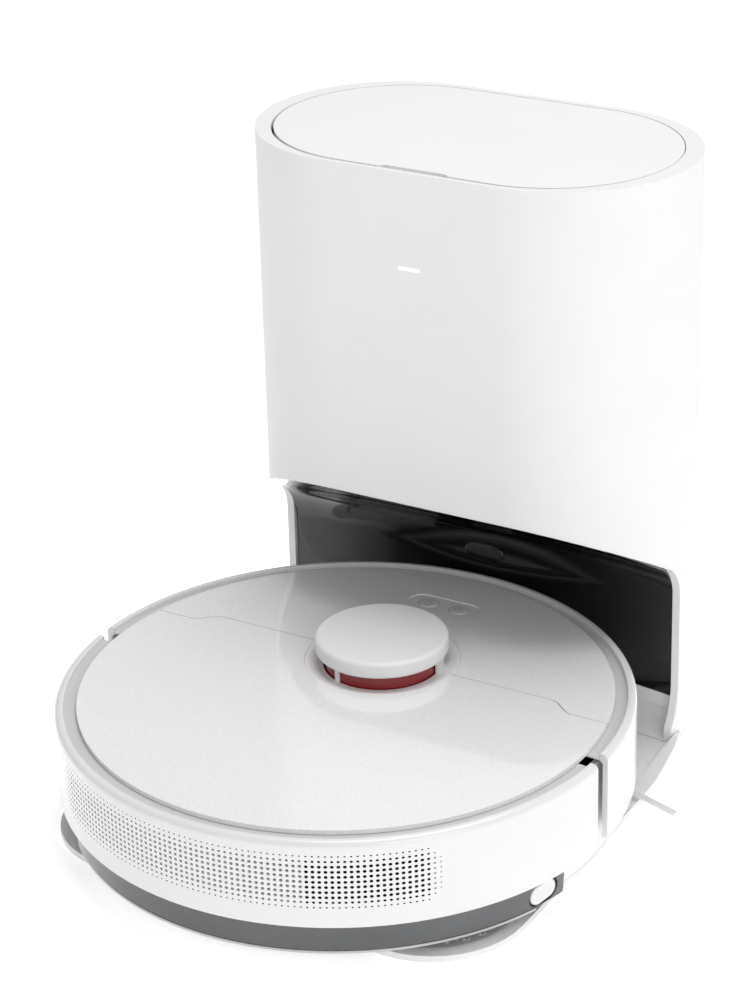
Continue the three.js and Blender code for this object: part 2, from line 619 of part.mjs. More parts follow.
function chargePin(side, name) {
  const top = ROBOT_LIFT + BELLY_Z - SEAM;
  const profile = [
    [0, PIN_FOOT], [PIN_RADIUS, PIN_FOOT], [PIN_RADIUS, top - 1.2], [PIN_RADIUS - 1, top], [0, top],
  ];
  return mesh(name, turned(profile, side * PIN_X, ROBOT_Y + CONTACT_Y, 20), METAL);
}

// =====================================================================================
// Robot, in its own frame: its middle over the floor it rolls on
// =====================================================================================

const outerProfile = (flange) => [
  [flange, SKIRT_Z],
  [ROBOT_RADIUS, SKIRT_Z],
  [ROBOT_RADIUS, DECK_TOP - 4.5],
  [ROBOT_RADIUS - 1.2, DECK_TOP - 1.6],
  [ROBOT_RADIUS - 4, DECK_TOP],
  [ROBOT_RADIUS - 5.5, DECK_TOP],
  [ROBOT_RADIUS - 5.5, DECK_TOP - 1.6],
  [SKIN_INSIDE, DECK_TOP - 4.5],
];
const ROUND = 64; // facets round the robot

function bumper() {
  const whole = turned([...outerProfile(SKIN_INSIDE), [SKIN_INSIDE, SKIRT_Z]], 0, 0, ROUND);
  const front = box(-ROBOT_RADIUS - 5, ROBOT_RADIUS + 5, 0, ROBOT_RADIUS + 5, 0, TURRET_TOP);
  return mesh("bumper", meet(whole, front), WHITE);
}

function rearShell() {
  const flange = WALL_RADIUS + SEAM;
  const inside = [[SKIN_INSIDE, SKIRT_Z + 2], [flange, SKIRT_Z + 2], [flange, SKIRT_Z]];
  const whole = turned([...outerProfile(flange), ...inside], 0, 0, ROUND);
  const far = ROBOT_RADIUS + 5;
  const rear = box(-far, far, -far, -BUMPER_SLOT, 0, TURRET_TOP);
  const [half, middle] = [GRILLE_HALF_ANGLE, GRILLE_TURN - 90];
  const window = wedge(middle - half, middle + half, ROBOT_RADIUS * 1.3, GRILLE_LOW, GRILLE_HIGH);
  return mesh("rear_shell", cut(meet(whole, rear), window), WHITE);
}

function exhaustGrille() {
  const gap = (SEAM / ROBOT_RADIUS) * (180 / Math.PI);
  const half = GRILLE_HALF_ANGLE - gap;
  const [low, high] = [GRILLE_LOW + SEAM, GRILLE_HIGH - SEAM];
  const band = ring(ROBOT_RADIUS - 2.6, ROBOT_RADIUS, low, high, 0, 0, ROUND);
  const middle = GRILLE_TURN - 90;
  const panel = meet(band, wedge(middle - half, middle + half, ROBOT_RADIUS * 1.3, 0, TURRET_TOP));
  const slots = [];
  for (let column = 0; column < 7; column++) {
    const angle = middle + 20 + column * 3.4;
    for (let row = 0; row < 3; row++) {
      const foot = GRILLE_LOW + 5 + row * 9.5;
      slots.push(wedge(angle, angle + 2, ROBOT_RADIUS * 1.2, foot, foot + 6));
    }
  }
  return mesh("exhaust_grille", cut(panel, join(...slots)), WHITE);
}

// Plan of the flip-up lid's side of the deck; `ease` moves its edges outward.
function lidSide(ease) {
  const reach = ROBOT_RADIUS + 10;
  const points = [
    [-reach, -reach],
    [reach, -reach],
    [reach, SEAM_OUTER_Y + ease],
    [SEAM_STEP_X + SEAM_STEP_RUN + ease, SEAM_OUTER_Y + ease],
    [SEAM_STEP_X + ease, SEAM_INNER_Y + ease],
    [-SEAM_STEP_X - ease, SEAM_INNER_Y + ease],
    [-SEAM_STEP_X - SEAM_STEP_RUN - ease, SEAM_OUTER_Y + ease],
    [-reach, SEAM_OUTER_Y + ease],
  ];
  return new THREE.Shape(points.map(([x, y]) => new THREE.Vector2(x, y)));
}

function robotDeck() {
  const flangeOuter = ROBOT_RADIUS - 5.5 - BUMPER_TRAVEL - RUN;
  const flangeInner = flangeOuter - 10;
  const lidCut = slab(lidSide(RUN), DECK_UNDER - 2, DECK_TOP + 1);
  const plate = cut(disc(DECK_RADIUS, DECK_UNDER, DECK_TOP, 0, 0, ROUND), lidCut);
  const flange = ring(flangeInner, flangeOuter, DECK_UNDER - 3, DECK_UNDER - SEAM, 0, 0, ROUND);
  const neck = cut(ring(flangeInner, DECK_RADIUS, DECK_UNDER - 1, DECK_TOP - 1, 0, 0, ROUND), lidCut);
  const well = disc(TURRET_WELL + RUN, DECK_UNDER - 6, DECK_TOP + 1, 0, TURRET_Y);
  const recess = slab(stadium(PAD_WIDTH, PAD_HEIGHT, BUTTON_Y), DECK_TOP - 0.5, DECK_TOP + 1, 8);
  const holes = [-1, 1].map((side) =>
    disc(BUTTON_RADIUS + RUN / 2, 0, DECK_TOP + 1, side * BUTTON_X, BUTTON_Y, 24));
  return mesh("robot_deck", cut(join(plate, flange, neck), well, recess, ...holes), WHITE);
}

function dustLid() {
  const plate = meet(disc(DECK_RADIUS - SEAM, DECK_UNDER, DECK_TOP, 0, 0, ROUND),
    slab(lidSide(0), DECK_UNDER - 1, DECK_TOP + 1));
  const x = SEAM_STEP_X - 19;
  const lugs = [-x, x].map((middle) =>
    box(middle - 6, middle + 6, SEAM_INNER_Y - 12, SEAM_INNER_Y - 2, DECK_UNDER - 4, DECK_UNDER + 1));
  const well = disc(TURRET_WELL + RUN, 0, DECK_TOP + 1, 0, TURRET_Y);
  return mesh("dust_lid", cut(join(plate, ...lugs), well), WHITE);
}

// The space under the rear for the water tank, with an ear outside each wheel for the clips.
// `gap` draws its front edges back.
function tankBay(gap, low, high) {
  const far = ROBOT_RADIUS + 10;
  const ears = [-1, 1].map((side) => {
    const [near, end] = [side * (EAR_X + gap), side * far];
    return box(Math.min(near, end), Math.max(near, end), -far, EAR_FRONT_Y - gap, low, high);
  });
  return join(box(-far, far, -far, TANK_FRONT_Y - gap, low, high), ...ears);
}

// Every hole through the chassis floor: wheels, roller, caster, side brush, contacts, sensors, outlet.
function floorHoles() {
  const top = BELLY_Z + PLATE + 1;
  const halfWheel = WHEEL_WIDTH / 2;
  const wheels = [-1, 1].map((side) => {
    const inside = side * (WHEEL_X - halfWheel - ARM_WIDTH - 3);
    const outside = side * (WHEEL_X + halfWheel + 2.5);
    const back = TANK_FRONT_Y + PLATE + SEAM;
    return box(Math.min(inside, outside), Math.max(inside, outside), back, WHEEL_RADIUS + 3, 0, top);
  });
  const reach = BRUSH_RADIUS + 2.5;
  const roller = box(-BRUSH_HALF - 3, BRUSH_HALF + 3, BRUSH_Y - reach, BRUSH_Y + reach, 0, top);
  const contacts = [-1, 1].map((side) => contactBlock(side, SEAM, 0));
  const sensors = [-1, 1].map((side) => cliffBlock(side, SEAM, 0, top));
  const caster = disc(CASTER_WELL, 0, top, 0, CASTER_Y, 32);
  const shaft = disc(5, 0, top, SIDE_BRUSH_X, SIDE_BRUSH_Y, 20);
  const outlet = box(DUCT_X - 17, DUCT_X + 17, OUTLET_Y - 8, OUTLET_Y + 8, 0, top);
  return [...wheels, roller, ...contacts, ...sensors, caster, shaft, outlet];
}

// The pan that carries everything: floor plate, tank bay and caster well.
function robotChassis() {
  const roofTop = TANK_ROOF + 2;
  const bay = tankBay(0, 0, TANK_ROOF);
  const floor = cut(disc(WALL_RADIUS, BELLY_Z, BELLY_Z + PLATE, 0, 0, ROUND), bay);
  const inner = disc(WALL_RADIUS - PLATE - SEAM, 0, TURRET_TOP, 0, 0, ROUND);
  const bulkhead = cut(meet(tankBay(-PLATE, BELLY_Z, roofTop), inner), bay);
  const wellTop = 38;
  const casterWell = turned([
    [0, wellTop], [CASTER_WELL, wellTop], [CASTER_WELL, BELLY_Z + 1], [CASTER_WELL + 2, BELLY_Z + 1],
    [CASTER_WELL + 2, wellTop + 2], [0, wellTop + 2],
  ], 0, CASTER_Y, 32);
  return mesh("robot_chassis", cut(join(floor, bulkhead, casterWell), ...floorHoles()), DARK);
}

// The upright wall round the chassis, open at the back for the exhaust.
function chassisWall() {
  const low = BELLY_Z + PLATE + SEAM;
  const high = DECK_UNDER - 6;
  const wall = ring(WALL_RADIUS - PLATE, WALL_RADIUS, low, high, 0, 0, ROUND);
  const [half, middle] = [GRILLE_HALF_ANGLE - 3, GRILLE_TURN - 90];
  const vent = wedge(middle - half, middle + half, ROBOT_RADIUS + 10, GRILLE_LOW + 2, GRILLE_HIGH - 6);
  return mesh("chassis_wall", cut(wall, tankBay(0, 0, TANK_ROOF), vent), DARK);
}

function brushHousing() {
  const low = BELLY_Z + PLATE + SEAM;
  const z = BRUSH_RADIUS + 1;
  const reach = BRUSH_RADIUS + 4;
  const block = box(-BRUSH_HALF - 3, BRUSH_HALF + 3, BRUSH_Y - reach, BRUSH_Y + reach, low, z + reach + 2);
  const bore = BRUSH_RADIUS + 1.5;
  const length = BRUSH_HALF + RUN;
  const tunnel = rolled([[0, -length], [bore, -length], [bore, length], [0, length]], BRUSH_Y, z);
  const mouth = box(-length, length, BRUSH_Y - bore, BRUSH_Y + bore, 0, z);
  const throat = box(-35, 35, BRUSH_Y - BRUSH_RADIUS - 6, BRUSH_Y, z, z + 14);
  return mesh("brush_housing", cut(block, tunnel, mouth, throat), DARK);
}

// A roller with blades along it.
function mainBrush() {
  const z = BRUSH_RADIUS + 1;
  const core = rolled([[0, -BRUSH_HALF], [9, -BRUSH_HALF], [9, BRUSH_HALF], [0, BRUSH_HALF]], BRUSH_Y, z, 18);
  const blades = [];
  for (let i = 0; i < 6; i++) {
    const blade = new THREE.BoxGeometry(2 * BRUSH_HALF - 4, 2.4, BRUSH_RADIUS - 8)
      .translate(0, 0, 8 + (BRUSH_RADIUS - 8) / 2)
      .rotateX((i * Math.PI) / 3)
      .translate(0, BRUSH_Y, z);
    blades.push(solid(blade));
  }
  return mesh("main_brush", join(core, ...blades), RUBBER);
}

function sideBrush() {
  const hub = turned(
    [[0, 3], [11, 3], [12, 4.5], [12, 6.4], [4, 6.4], [4, 12], [0, 12]], SIDE_BRUSH_X, SIDE_BRUSH_Y, 24);
  const arms = [];
  for (let i = 0; i < 3; i++) {
    const length = SIDE_BRUSH_REACH - 8;
    const arm = new THREE.BoxGeometry(length, 4, 2)
      .translate(8 + length / 2, 0, 4.6)
      .rotateZ(radians(SIDE_BRUSH_TURN + i * 120))
      .translate(SIDE_BRUSH_X, SIDE_BRUSH_Y, 0);
    arms.push(solid(arm));
  }
  return mesh("side_brush", join(hub, ...arms), BRISTLE);
}

const sideBrushMotor = () =>
  mesh("side_brush_motor", disc(12.5, 12 + RUN, 42, SIDE_BRUSH_X, SIDE_BRUSH_Y, 24), DARK);

function casterFork() {
  const body = disc(CASTER_WELL - RUN, BELLY_Z + 1, 38 - RUN, 0, CASTER_Y, 32);
  const middle = CASTER_Y - CASTER_TRAIL;
  const reach = CASTER_RADIUS + 1.5;
  const slot = box(-7, 7, middle - reach, middle + reach, 0, 2 * CASTER_RADIUS + 2);
  return mesh("caster_fork", cut(body, slot), DARK);
}

const casterWheel = () => {
  const r = CASTER_RADIUS;
  const profile = [[0, -6], [r - 2, -6], [r, -3], [r, 3], [r - 2, 6], [0, 6]];
  return mesh("caster_wheel", rolled(profile, CASTER_Y - CASTER_TRAIL, r, 28), WHITE);
};

function wheelArm(side, name) {
  const outer = WHEEL_X - WHEEL_WIDTH / 2 - RUN;
  const [x0, x1] = side > 0 ? [outer - ARM_WIDTH, outer] : [-outer, ARM_WIDTH - outer];
  const z = WHEEL_RADIUS;
  const end = -ARM_LENGTH - 5;
  const beam = sideSlab([[end, z - 6], [10, z - 10], [10, z + 10], [end, z + 6]], x0, x1);
  return mesh(name, beam, DARK);
}

function wheelHub(side, name) {
  const [x0, x1] = [WHEEL_X - WHEEL_WIDTH / 2, WHEEL_X + WHEEL_WIDTH / 2];
  const r = WHEEL_RADIUS - 6 - SEAM;
  const profile = [[0, x0], [r, x0], [r, x1], [10, x1], [10, x1 - 3], [0, x1 - 3]];
  const facing = side > 0 ? profile : profile.map(([radius, x]) => [radius, -x]);
  return mesh(name, rolled(facing, 0, WHEEL_RADIUS, 32), DARK);
}

function tyre(side, name) {
  const halfWidth = WHEEL_WIDTH / 2;
  const [x0, x1] = [side * (WHEEL_X - halfWidth), side * (WHEEL_X + halfWidth)];
  const r = WHEEL_RADIUS;
  const band = rolled([[r - 6, x0], [r, x0], [r, x1], [r - 6, x1], [r - 6, x0]], 0, r, 36);
  return mesh(name, band, TYRE);
}

function waterTank() {
  const roof = TANK_ROOF - RUN - 1;
  const far = ROBOT_RADIUS + 10;
  const whole = turned([
    [0, TANK_LOW], [ROBOT_RADIUS - 8, TANK_LOW], [ROBOT_RADIUS - 5.5, TANK_LOW + 2.5],
    [ROBOT_RADIUS - 4.5, SKIRT_Z - RUN], [ROBOT_RADIUS - 10, roof], [0, roof],
  ], 0, 0, ROUND);
  const body = meet(whole, tankBay(RUN, 0, roof + 1));
  const hollow = meet(disc(ROBOT_RADIUS - 32, TANK_LOW + 2, roof - 2, 0, 0, ROUND),
    box(-far, far, -far, TANK_FRONT_Y - RUN - 3, 0, roof));
  const filler = disc(9, TANK_LOW + 3, roof + 2, 0, FILLER_Y, 24);
  const pockets = [-1, 1].map((side) => clipBlock(side, RUN, CLIP_DEPTH + 6));
  return mesh("water_tank", cut(body, hollow, filler, ...pockets), SMOKE);
}

const FILLER_Y = TANK_FRONT_Y - 22;

const tankPlug = () => {
  const top = TANK_ROOF - RUN - 1;
  return mesh("tank_plug", disc(9 - SEAM, top - 4, top, 0, FILLER_Y, 24), TYRE);
};

// A release clip in the tank's side: a rounded block set into a pocket.
function clipBlock(side, gap, depth) {
  const shape = new THREE.Shape();
  shape.absellipse(0, 0, CLIP_HALF_WIDTH + gap, CLIP_HALF_HEIGHT + gap, 0, Math.PI * 2, false);
  const angle = radians(CLIP_ANGLE);
  const block = new THREE.ExtrudeGeometry(shape, { depth, bevelEnabled: false, curveSegments: 8 })
    .rotateZ(radians(12 * side))
    .rotateX(Math.PI / 2)
    .rotateZ(Math.PI / 2)
    .translate(ROBOT_RADIUS - CLIP_INSET - CLIP_DEPTH - (gap ? CLIP_TRAVEL + gap : 0), 0, CLIP_Z)
    .rotateZ(side > 0 ? -angle : Math.PI + angle);
  return solid(block);
}

const tankClip = (side, name) => mesh(name, clipBlock(side, 0, CLIP_DEPTH), WHITE);

function mopPad() {
  const far = ROBOT_RADIUS + 10;
  const edge = ROBOT_RADIUS - 24;
  const high = TANK_LOW - SEAM;
  const round = turned([[0, 2.2], [edge - 2, 2.2], [edge, 3.4], [edge, high], [0, high]], 0, 0, 72);
  return mesh("mop_pad", meet(round, box(-far, far, -far, TANK_FRONT_Y - 14, 0, 20)), PAPER);
}

function dustBin() {
  const outer = box(-BIN_HALF, BIN_HALF, BIN_BACK_Y, BIN_FRONT_Y, BIN_LOW, BIN_HIGH);
  const inside = box(2 - BIN_HALF, BIN_HALF - 2, BIN_BACK_Y + 2, BIN_FRONT_Y - 2, BIN_LOW + 2, BIN_HIGH + 1);
  const inlet = box(-32, 32, BIN_FRONT_Y - 3, BIN_FRONT_Y + 1, BIN_LOW + 4, BIN_LOW + 18);
  const handle = box(-20, 20, BIN_BACK_Y + 1, BIN_BACK_Y + 14, BIN_HIGH - 4, BIN_HIGH);
  return mesh("dust_bin", cut(join(cut(outer, inside), handle), inlet), SMOKE);
}

function binFilter() {
  const right = BIN_HALF - 2 - SEAM;
  const middle = (BIN_BACK_Y + BIN_FRONT_Y) / 2;
  const pleats = [];
  for (let y = middle - 36; y < middle + 36; y += 8)
    pleats.push(box(right - 12, right - 3, y, y + 4, BIN_LOW + 8, BIN_HIGH - 6));
  const frame = box(right - 4, right, middle - 42, middle + 42, BIN_LOW + 4, BIN_HIGH - 3);
  return mesh("bin_filter", join(frame, ...pleats), PAPER);
}

const battery = () => mesh("battery", box(-26, 88, 78, 112, BELLY_Z + PLATE + SEAM, 48), DARK);

const mainBoard = () => {
  const [front, back] = [WALL_RADIUS - 24, TURRET_Y + TURRET_WELL + 6];
  return mesh("main_board", box(-74, 74, back, front, 58, 59.6), BOARD);
};

const fanHousing = () => {
  const [low, high] = [TANK_ROOF + 2 + SEAM, 62];
  const r = FAN_RADIUS;
  const cup = [[0, low], [r, low], [r, high], [r - 2, high], [r - 2, low + 4], [0, low + 4]];
  return mesh("fan_housing", turned(cup, FAN_X, FAN_Y, 32), DARK);
};

const fanImpeller = () =>
  mesh("fan_impeller", impeller(FAN_X, FAN_Y, TANK_ROOF + 9, FAN_RADIUS - 3.5, 16), STEEL);

function lidarBase() {
  const r = TURRET_WELL - RUN;
  const bore = ROTOR_RADIUS + 1.2;
  const [rim, dish] = [DECK_TOP - 0.4, DECK_TOP - 3.4];
  const cup = turned([
    [0, CUP_LOW], [r, CUP_LOW], [r, rim], [r - 1, rim], [r - 5, dish], [bore, dish], [bore, CUP_FLOOR],
    [0, CUP_FLOOR],
  ], 0, TURRET_Y);
  const posts = [252, 12, 132].map((degrees) => {
    const post = new THREE.BoxGeometry(3.5, degrees === 252 ? 5 : 14, TURRET_FOOT - DECK_TOP + 4.5)
      .translate(ROTOR_RADIUS + 3.4, 0, (TURRET_FOOT + DECK_TOP - 3.9) / 2)
      .rotateZ(radians(degrees))
      .translate(0, TURRET_Y, 0);
    return solid(post);
  });
  return mesh("lidar_base", join(cup, ...posts), DARK);
}

const lidarRotor = () => {
  const top = TURRET_FOOT - TURRET_TRAVEL - RUN;
  const r = ROTOR_RADIUS;
  return mesh("lidar_rotor", disc(r, CUP_FLOOR + RUN, top, 0, TURRET_Y, 40), WINDOW);
};

function turretCap() {
  const r = TURRET_RADIUS;
  const roof = TURRET_FOOT + 0.3 + TURRET_TRAVEL + RUN;
  const profile = [
    [0, roof], [ROTOR_RADIUS + 6.5, roof], [ROTOR_RADIUS + 6.5, TURRET_FOOT], [r - 1.5, TURRET_FOOT],
    [r, TURRET_FOOT + 1.5], [r, TURRET_TOP - 2], [r - 2, TURRET_TOP], [0, TURRET_TOP],
  ];
  return mesh("turret_cap", turned(profile, 0, TURRET_Y), WHITE);
}

function button(side, name) {
  const [x, y] = [side * BUTTON_X, BUTTON_Y];
  const [neck, top] = [DECK_TOP - 4.5, DECK_TOP - 0.2];
  const profile = [
    [0, CUP_LOW], [3, CUP_LOW], [3, neck], [BUTTON_RADIUS, neck], [BUTTON_RADIUS, top], [0, top],
  ];
  return mesh(name, turned(profile, x, y, 16), WHITE);
}

function cliffBlock(side, gap, low, high) {
  const [x, half, depth] = [side * CLIFF_X, 10 + gap, 4.5 + gap];
  return box(x - half, x + half, CLIFF_Y - depth, CLIFF_Y + depth, low, high);
}

const cliffSensor = (side, name) => mesh(name, cliffBlock(side, 0, BELLY_Z, BELLY_Z + 8), BLACK);

function contactBlock(side, gap, low) {
  const [x, half, depth] = [side * PIN_X, CONTACT_HALF + gap, 5 + gap];
  return box(x - half, x + half, CONTACT_Y - depth, CONTACT_Y + depth, low, BELLY_Z + 1.2 + gap);
}

const contactPlate = (side, name) => mesh(name, contactBlock(side, 0, BELLY_Z), METAL);

// ---- Assembly ----
const robot = new THREE.Group();
robot.position.set(0, ROBOT_Y, ROBOT_LIFT);
robot.add(
  robotChassis(), chassisWall(), rearShell(), exhaustGrille(), robotDeck(), bumper(), dustLid(),
  dustBin(), binFilter(), battery(), mainBoard(), fanHousing(), fanImpeller(),
  brushHousing(), mainBrush(), sideBrush(), sideBrushMotor(), casterFork(), casterWheel(),
  wheelArm(-1, "wheel_arm_L"), wheelArm(1, "wheel_arm_R"), wheelHub(-1, "wheel_L"), wheelHub(1, "wheel_R"),
  tyre(-1, "tyre_L"), tyre(1, "tyre_R"), waterTank(), tankPlug(), tankClip(-1, "tank_clip_L"),
  tankClip(1, "tank_clip_R"), mopPad(), lidarBase(), lidarRotor(), turretCap(),
  button(-1, "button_home"), button(1, "button_power"), cliffSensor(-1, "cliff_sensor_L"),
  cliffSensor(1, "cliff_sensor_R"), contactPlate(-1, "robot_contact_L"), contactPlate(1, "robot_contact_R"),
);

const vacuumAndDock = new THREE.Group();
vacuumAndDock.add(
  dockBase(), wheelPad(-1, "wheel_pad_L"), wheelPad(1, "wheel_pad_R"), towerShell(), dockLid(),
  recessLiner(), irWindow(), lowerPanel(), ledBar(), intakeDuct(), intakeSeal(), dustDuct(), bagChamber(),
  dustBag(), bagCollar(), dockFanHousing(), dockImpeller(), controlBoard(), powerInlet(),
  chargePin(-1, "charge_pin_L"), chargePin(1, "charge_pin_R"), robot,
);

export default vacuumAndDock;
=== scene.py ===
import logging
import math
from dataclasses import dataclass
from enum import Enum
from typing import Iterable, Sequence

import bmesh
import bpy
from mathutils import Matrix, Vector


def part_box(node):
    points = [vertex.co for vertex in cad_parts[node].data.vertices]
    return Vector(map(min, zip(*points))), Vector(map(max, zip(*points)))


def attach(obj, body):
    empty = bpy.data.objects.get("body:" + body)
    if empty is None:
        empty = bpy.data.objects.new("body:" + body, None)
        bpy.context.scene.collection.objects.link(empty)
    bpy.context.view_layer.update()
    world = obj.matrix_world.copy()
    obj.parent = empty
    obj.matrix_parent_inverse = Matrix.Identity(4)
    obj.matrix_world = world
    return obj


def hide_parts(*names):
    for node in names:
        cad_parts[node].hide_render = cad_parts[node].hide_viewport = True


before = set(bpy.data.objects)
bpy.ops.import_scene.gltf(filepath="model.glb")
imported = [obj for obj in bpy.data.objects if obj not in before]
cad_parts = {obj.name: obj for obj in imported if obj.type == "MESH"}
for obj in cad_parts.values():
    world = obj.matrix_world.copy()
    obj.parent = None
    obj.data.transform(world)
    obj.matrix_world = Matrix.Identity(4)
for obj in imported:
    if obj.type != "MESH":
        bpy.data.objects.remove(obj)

MM = 0.001
LOG = logging.getLogger("looks")
Point = tuple[float, float]


# ---------------------------------------------------------------------------------------
# Colours and nodes
# ---------------------------------------------------------------------------------------
def linear(code: str) -> tuple[float, float, float, float]:
    """Turn an sRGB hex colour into Blender's linear one.

    Args:
        code: Six hex digits, with or without a leading hash.

    Returns:
        Linear red, green and blue, and an alpha of one.
    """
    parts = [int(code.lstrip("#")[i : i + 2], 16) / 255 for i in (0, 2, 4)]
    red, green, blue = [c / 12.92 if c <= 0.04045 else ((c + 0.055) / 1.055) ** 2.4 for c in parts]
    return (red, green, blue, 1.0)


def add_node(
    tree: bpy.types.NodeTree, kind: str, inputs: dict | None = None, **settings: object
) -> bpy.types.Node:
    """Add a node with its settings, values and links.

    Args:
        tree: The node tree it goes into.
        kind: Blender's name for the node's type.
        inputs: Input name or number to a value, or to the socket linked to it.
        **settings: Properties of the node itself.

    Returns:
        The new node.
    """
    node = tree.nodes.new(kind)
    for key, value in settings.items():
        setattr(node, key, value)
    for key, value in (inputs or {}).items():
        if isinstance(value, bpy.types.NodeSocket):
            tree.links.new(value, node.inputs[key])
        else:
            node.inputs[key].default_value = value
    return node


# ---------------------------------------------------------------------------------------
# Finishes
# ---------------------------------------------------------------------------------------
@dataclass(frozen=True)
class Finish:
    """A moulded surface: its colour wanders a little, and a fine grain roughens it.

    Sizes are in millimetres: `grain` is the spacing of the fine bumps, `relief` their height,
    and `patch` the distance over which colour and gloss wander.
    """

    name: str
    colour: str
    shade: str
    roughness: float
    swing: float = 0.03
    metallic: float = 0.0
    ior: float = 1.5
    coat: float = 0.0
    coat_roughness: float = 0.03
    transmission: float = 0.0
    glow: float = 0.0
    grain: float = 0.5
    relief: float = 0.01
    patch: float = 45.0

    def height(self, tree: bpy.types.NodeTree, where: bpy.types.NodeSocket) -> bpy.types.NodeSocket:
        """Return the socket that carries the surface's relief."""
        noise = add_node(
            tree, "ShaderNodeTexNoise", {"Vector": where, "Scale": 1 / (self.grain * MM), "Detail": 3.0}
        )
        return noise.outputs["Fac"]

    def tint(self, tree: bpy.types.NodeTree, where: bpy.types.NodeSocket) -> bpy.types.NodeSocket:
        """Return the socket that carries the surface's colour.

        Args:
            tree: The material's node tree.
            where: The vector that the pattern reads.

        Returns:
            The colour socket.
        """
        drift = add_node(
            tree, "ShaderNodeTexNoise", {"Vector": where, "Scale": 1 / (self.patch * MM), "Detail": 2.0}
        )
        mixed = add_node(
            tree,
            "ShaderNodeMix",
            {0: drift.outputs["Fac"], 6: linear(self.colour), 7: linear(self.shade)},
            data_type="RGBA",
        )
        return mixed.outputs[2]

    def build(self) -> bpy.types.Material:
        """Make the material once and return it after that.

        Returns:
            The material.
        """
        known = bpy.data.materials.get(self.name)
        if known:
            return known
        material = bpy.data.materials.new(self.name)
        material.use_nodes = True
        tree = material.node_tree
        shader = tree.nodes["Principled BSDF"]
        where = add_node(tree, "ShaderNodeTexCoord").outputs["Object"]
        smear = add_node(
            tree, "ShaderNodeTexNoise", {"Vector": where, "Scale": 2.3 / (self.patch * MM), "Detail": 4.0}
        )
        gloss = add_node(
            tree,
            "ShaderNodeMapRange",
            {
                0: smear.outputs["Fac"], 3: max(self.roughness - self.swing, 0.01),
                4: self.roughness + self.swing,
            },
        )
        bump = add_node(tree, "ShaderNodeBump", {"Height": self.height(tree, where), "Strength": 1.0})
        bump.inputs["Distance"].default_value = self.relief * MM
        tree.links.new(self.tint(tree, where), shader.inputs["Base Color"])
        tree.links.new(gloss.outputs[0], shader.inputs["Roughness"])
        tree.links.new(bump.outputs["Normal"], shader.inputs["Normal"])
        shader.inputs["Metallic"].default_value = self.metallic
        shader.inputs["IOR"].default_value = self.ior
        shader.inputs["Coat Weight"].default_value = self.coat
        shader.inputs["Coat Roughness"].default_value = self.coat_roughness
        shader.inputs["Transmission Weight"].default_value = self.transmission
        shader.inputs["Emission Color"].default_value = linear(self.colour)
        shader.inputs["Emission Strength"].default_value = self.glow
        return material


@dataclass(frozen=True)
class Flecked(Finish):
    """Clear gloss over fine pale flecks, as on an in-mould decorated lid."""

    fleck: float = 0.9
    fleck_shade: str = "dedfe0"

    def tint(self, tree: bpy.types.NodeTree, where: bpy.types.NodeSocket) -> bpy.types.NodeSocket:
        """Return a pale ground scattered with fine grey flecks.

        Args:
            tree: The material's node tree.
            where: The vector that the pattern reads.

        Returns:
            The colour socket.
        """
        cells = add_node(tree, "ShaderNodeTexVoronoi", {"Vector": where, "Scale": 1 / (self.fleck * MM)})
        spot = add_node(
            tree, "ShaderNodeMapRange", {0: cells.outputs["Distance"], 1: 0.12, 2: 0.42, 3: 1.0, 4: 0.0}
        )
        mixed = add_node(
            tree,
            "ShaderNodeMix",
            {0: spot.outputs[0], 6: linear(self.colour), 7: linear(self.fleck_shade)},
            data_type="RGBA",
        )
        return mixed.outputs[2]


@dataclass(frozen=True)
class Brushed(Finish):
    """Metal with fine straight scratches along X."""

    def height(self, tree: bpy.types.NodeTree, where: bpy.types.NodeSocket) -> bpy.types.NodeSocket:
        """Return long thin scratches.

        Args:
            tree: The material's node tree.
            where: The vector that the pattern reads.

        Returns:
            The height socket.
        """
        mapped = add_node(
            tree, "ShaderNodeMapping", {"Vector": where, "Scale": (40.0, 1 / (self.grain * MM), 900.0)}
        )
        noise = add_node(
            tree, "ShaderNodeTexNoise", {"Vector": mapped.outputs[0], "Scale": 1.0, "Detail": 2.0}
        )
        return noise.outputs["Fac"]


@dataclass(frozen=True)
class Ribbed(Finish):
    """Rubber moulded in fine parallel ridges across Y."""

    def height(self, tree: bpy.types.NodeTree, where: bpy.types.NodeSocket) -> bpy.types.NodeSocket:
        """Return ridges `grain` apart."""
        wave = add_node(
            tree,
            "ShaderNodeTexWave",
            {"Vector": where, "Scale": 0.314 / (self.grain * MM), "Distortion": 0.0},
            bands_direction="Y",
        )
        return wave.outputs["Fac"]


@dataclass(frozen=True)
class Bonded(Finish):
    """Non-woven cloth: matted fibres pressed together in a grid of points."""

    def height(self, tree: bpy.types.NodeTree, where: bpy.types.NodeSocket) -> bpy.types.NodeSocket:
        """Return matted fibres with bond points 2.5 mm apart.

        Args:
            tree: The material's node tree.
            where: The vector that the pattern reads.

        Returns:
            The height socket.
        """
        points = add_node(tree, "ShaderNodeTexVoronoi", {"Vector": where, "Scale": 400.0, "Randomness": 0.15})
        fibres = add_node(
            tree, "ShaderNodeTexNoise", {"Vector": where, "Scale": 1 / (self.grain * MM), "Detail": 6.0}
        )
        mixed = add_node(
            tree, "ShaderNodeMath", {0: points.outputs["Distance"], 1: fibres.outputs["Fac"]}, operation="ADD"
        )
        return mixed.outputs[0]


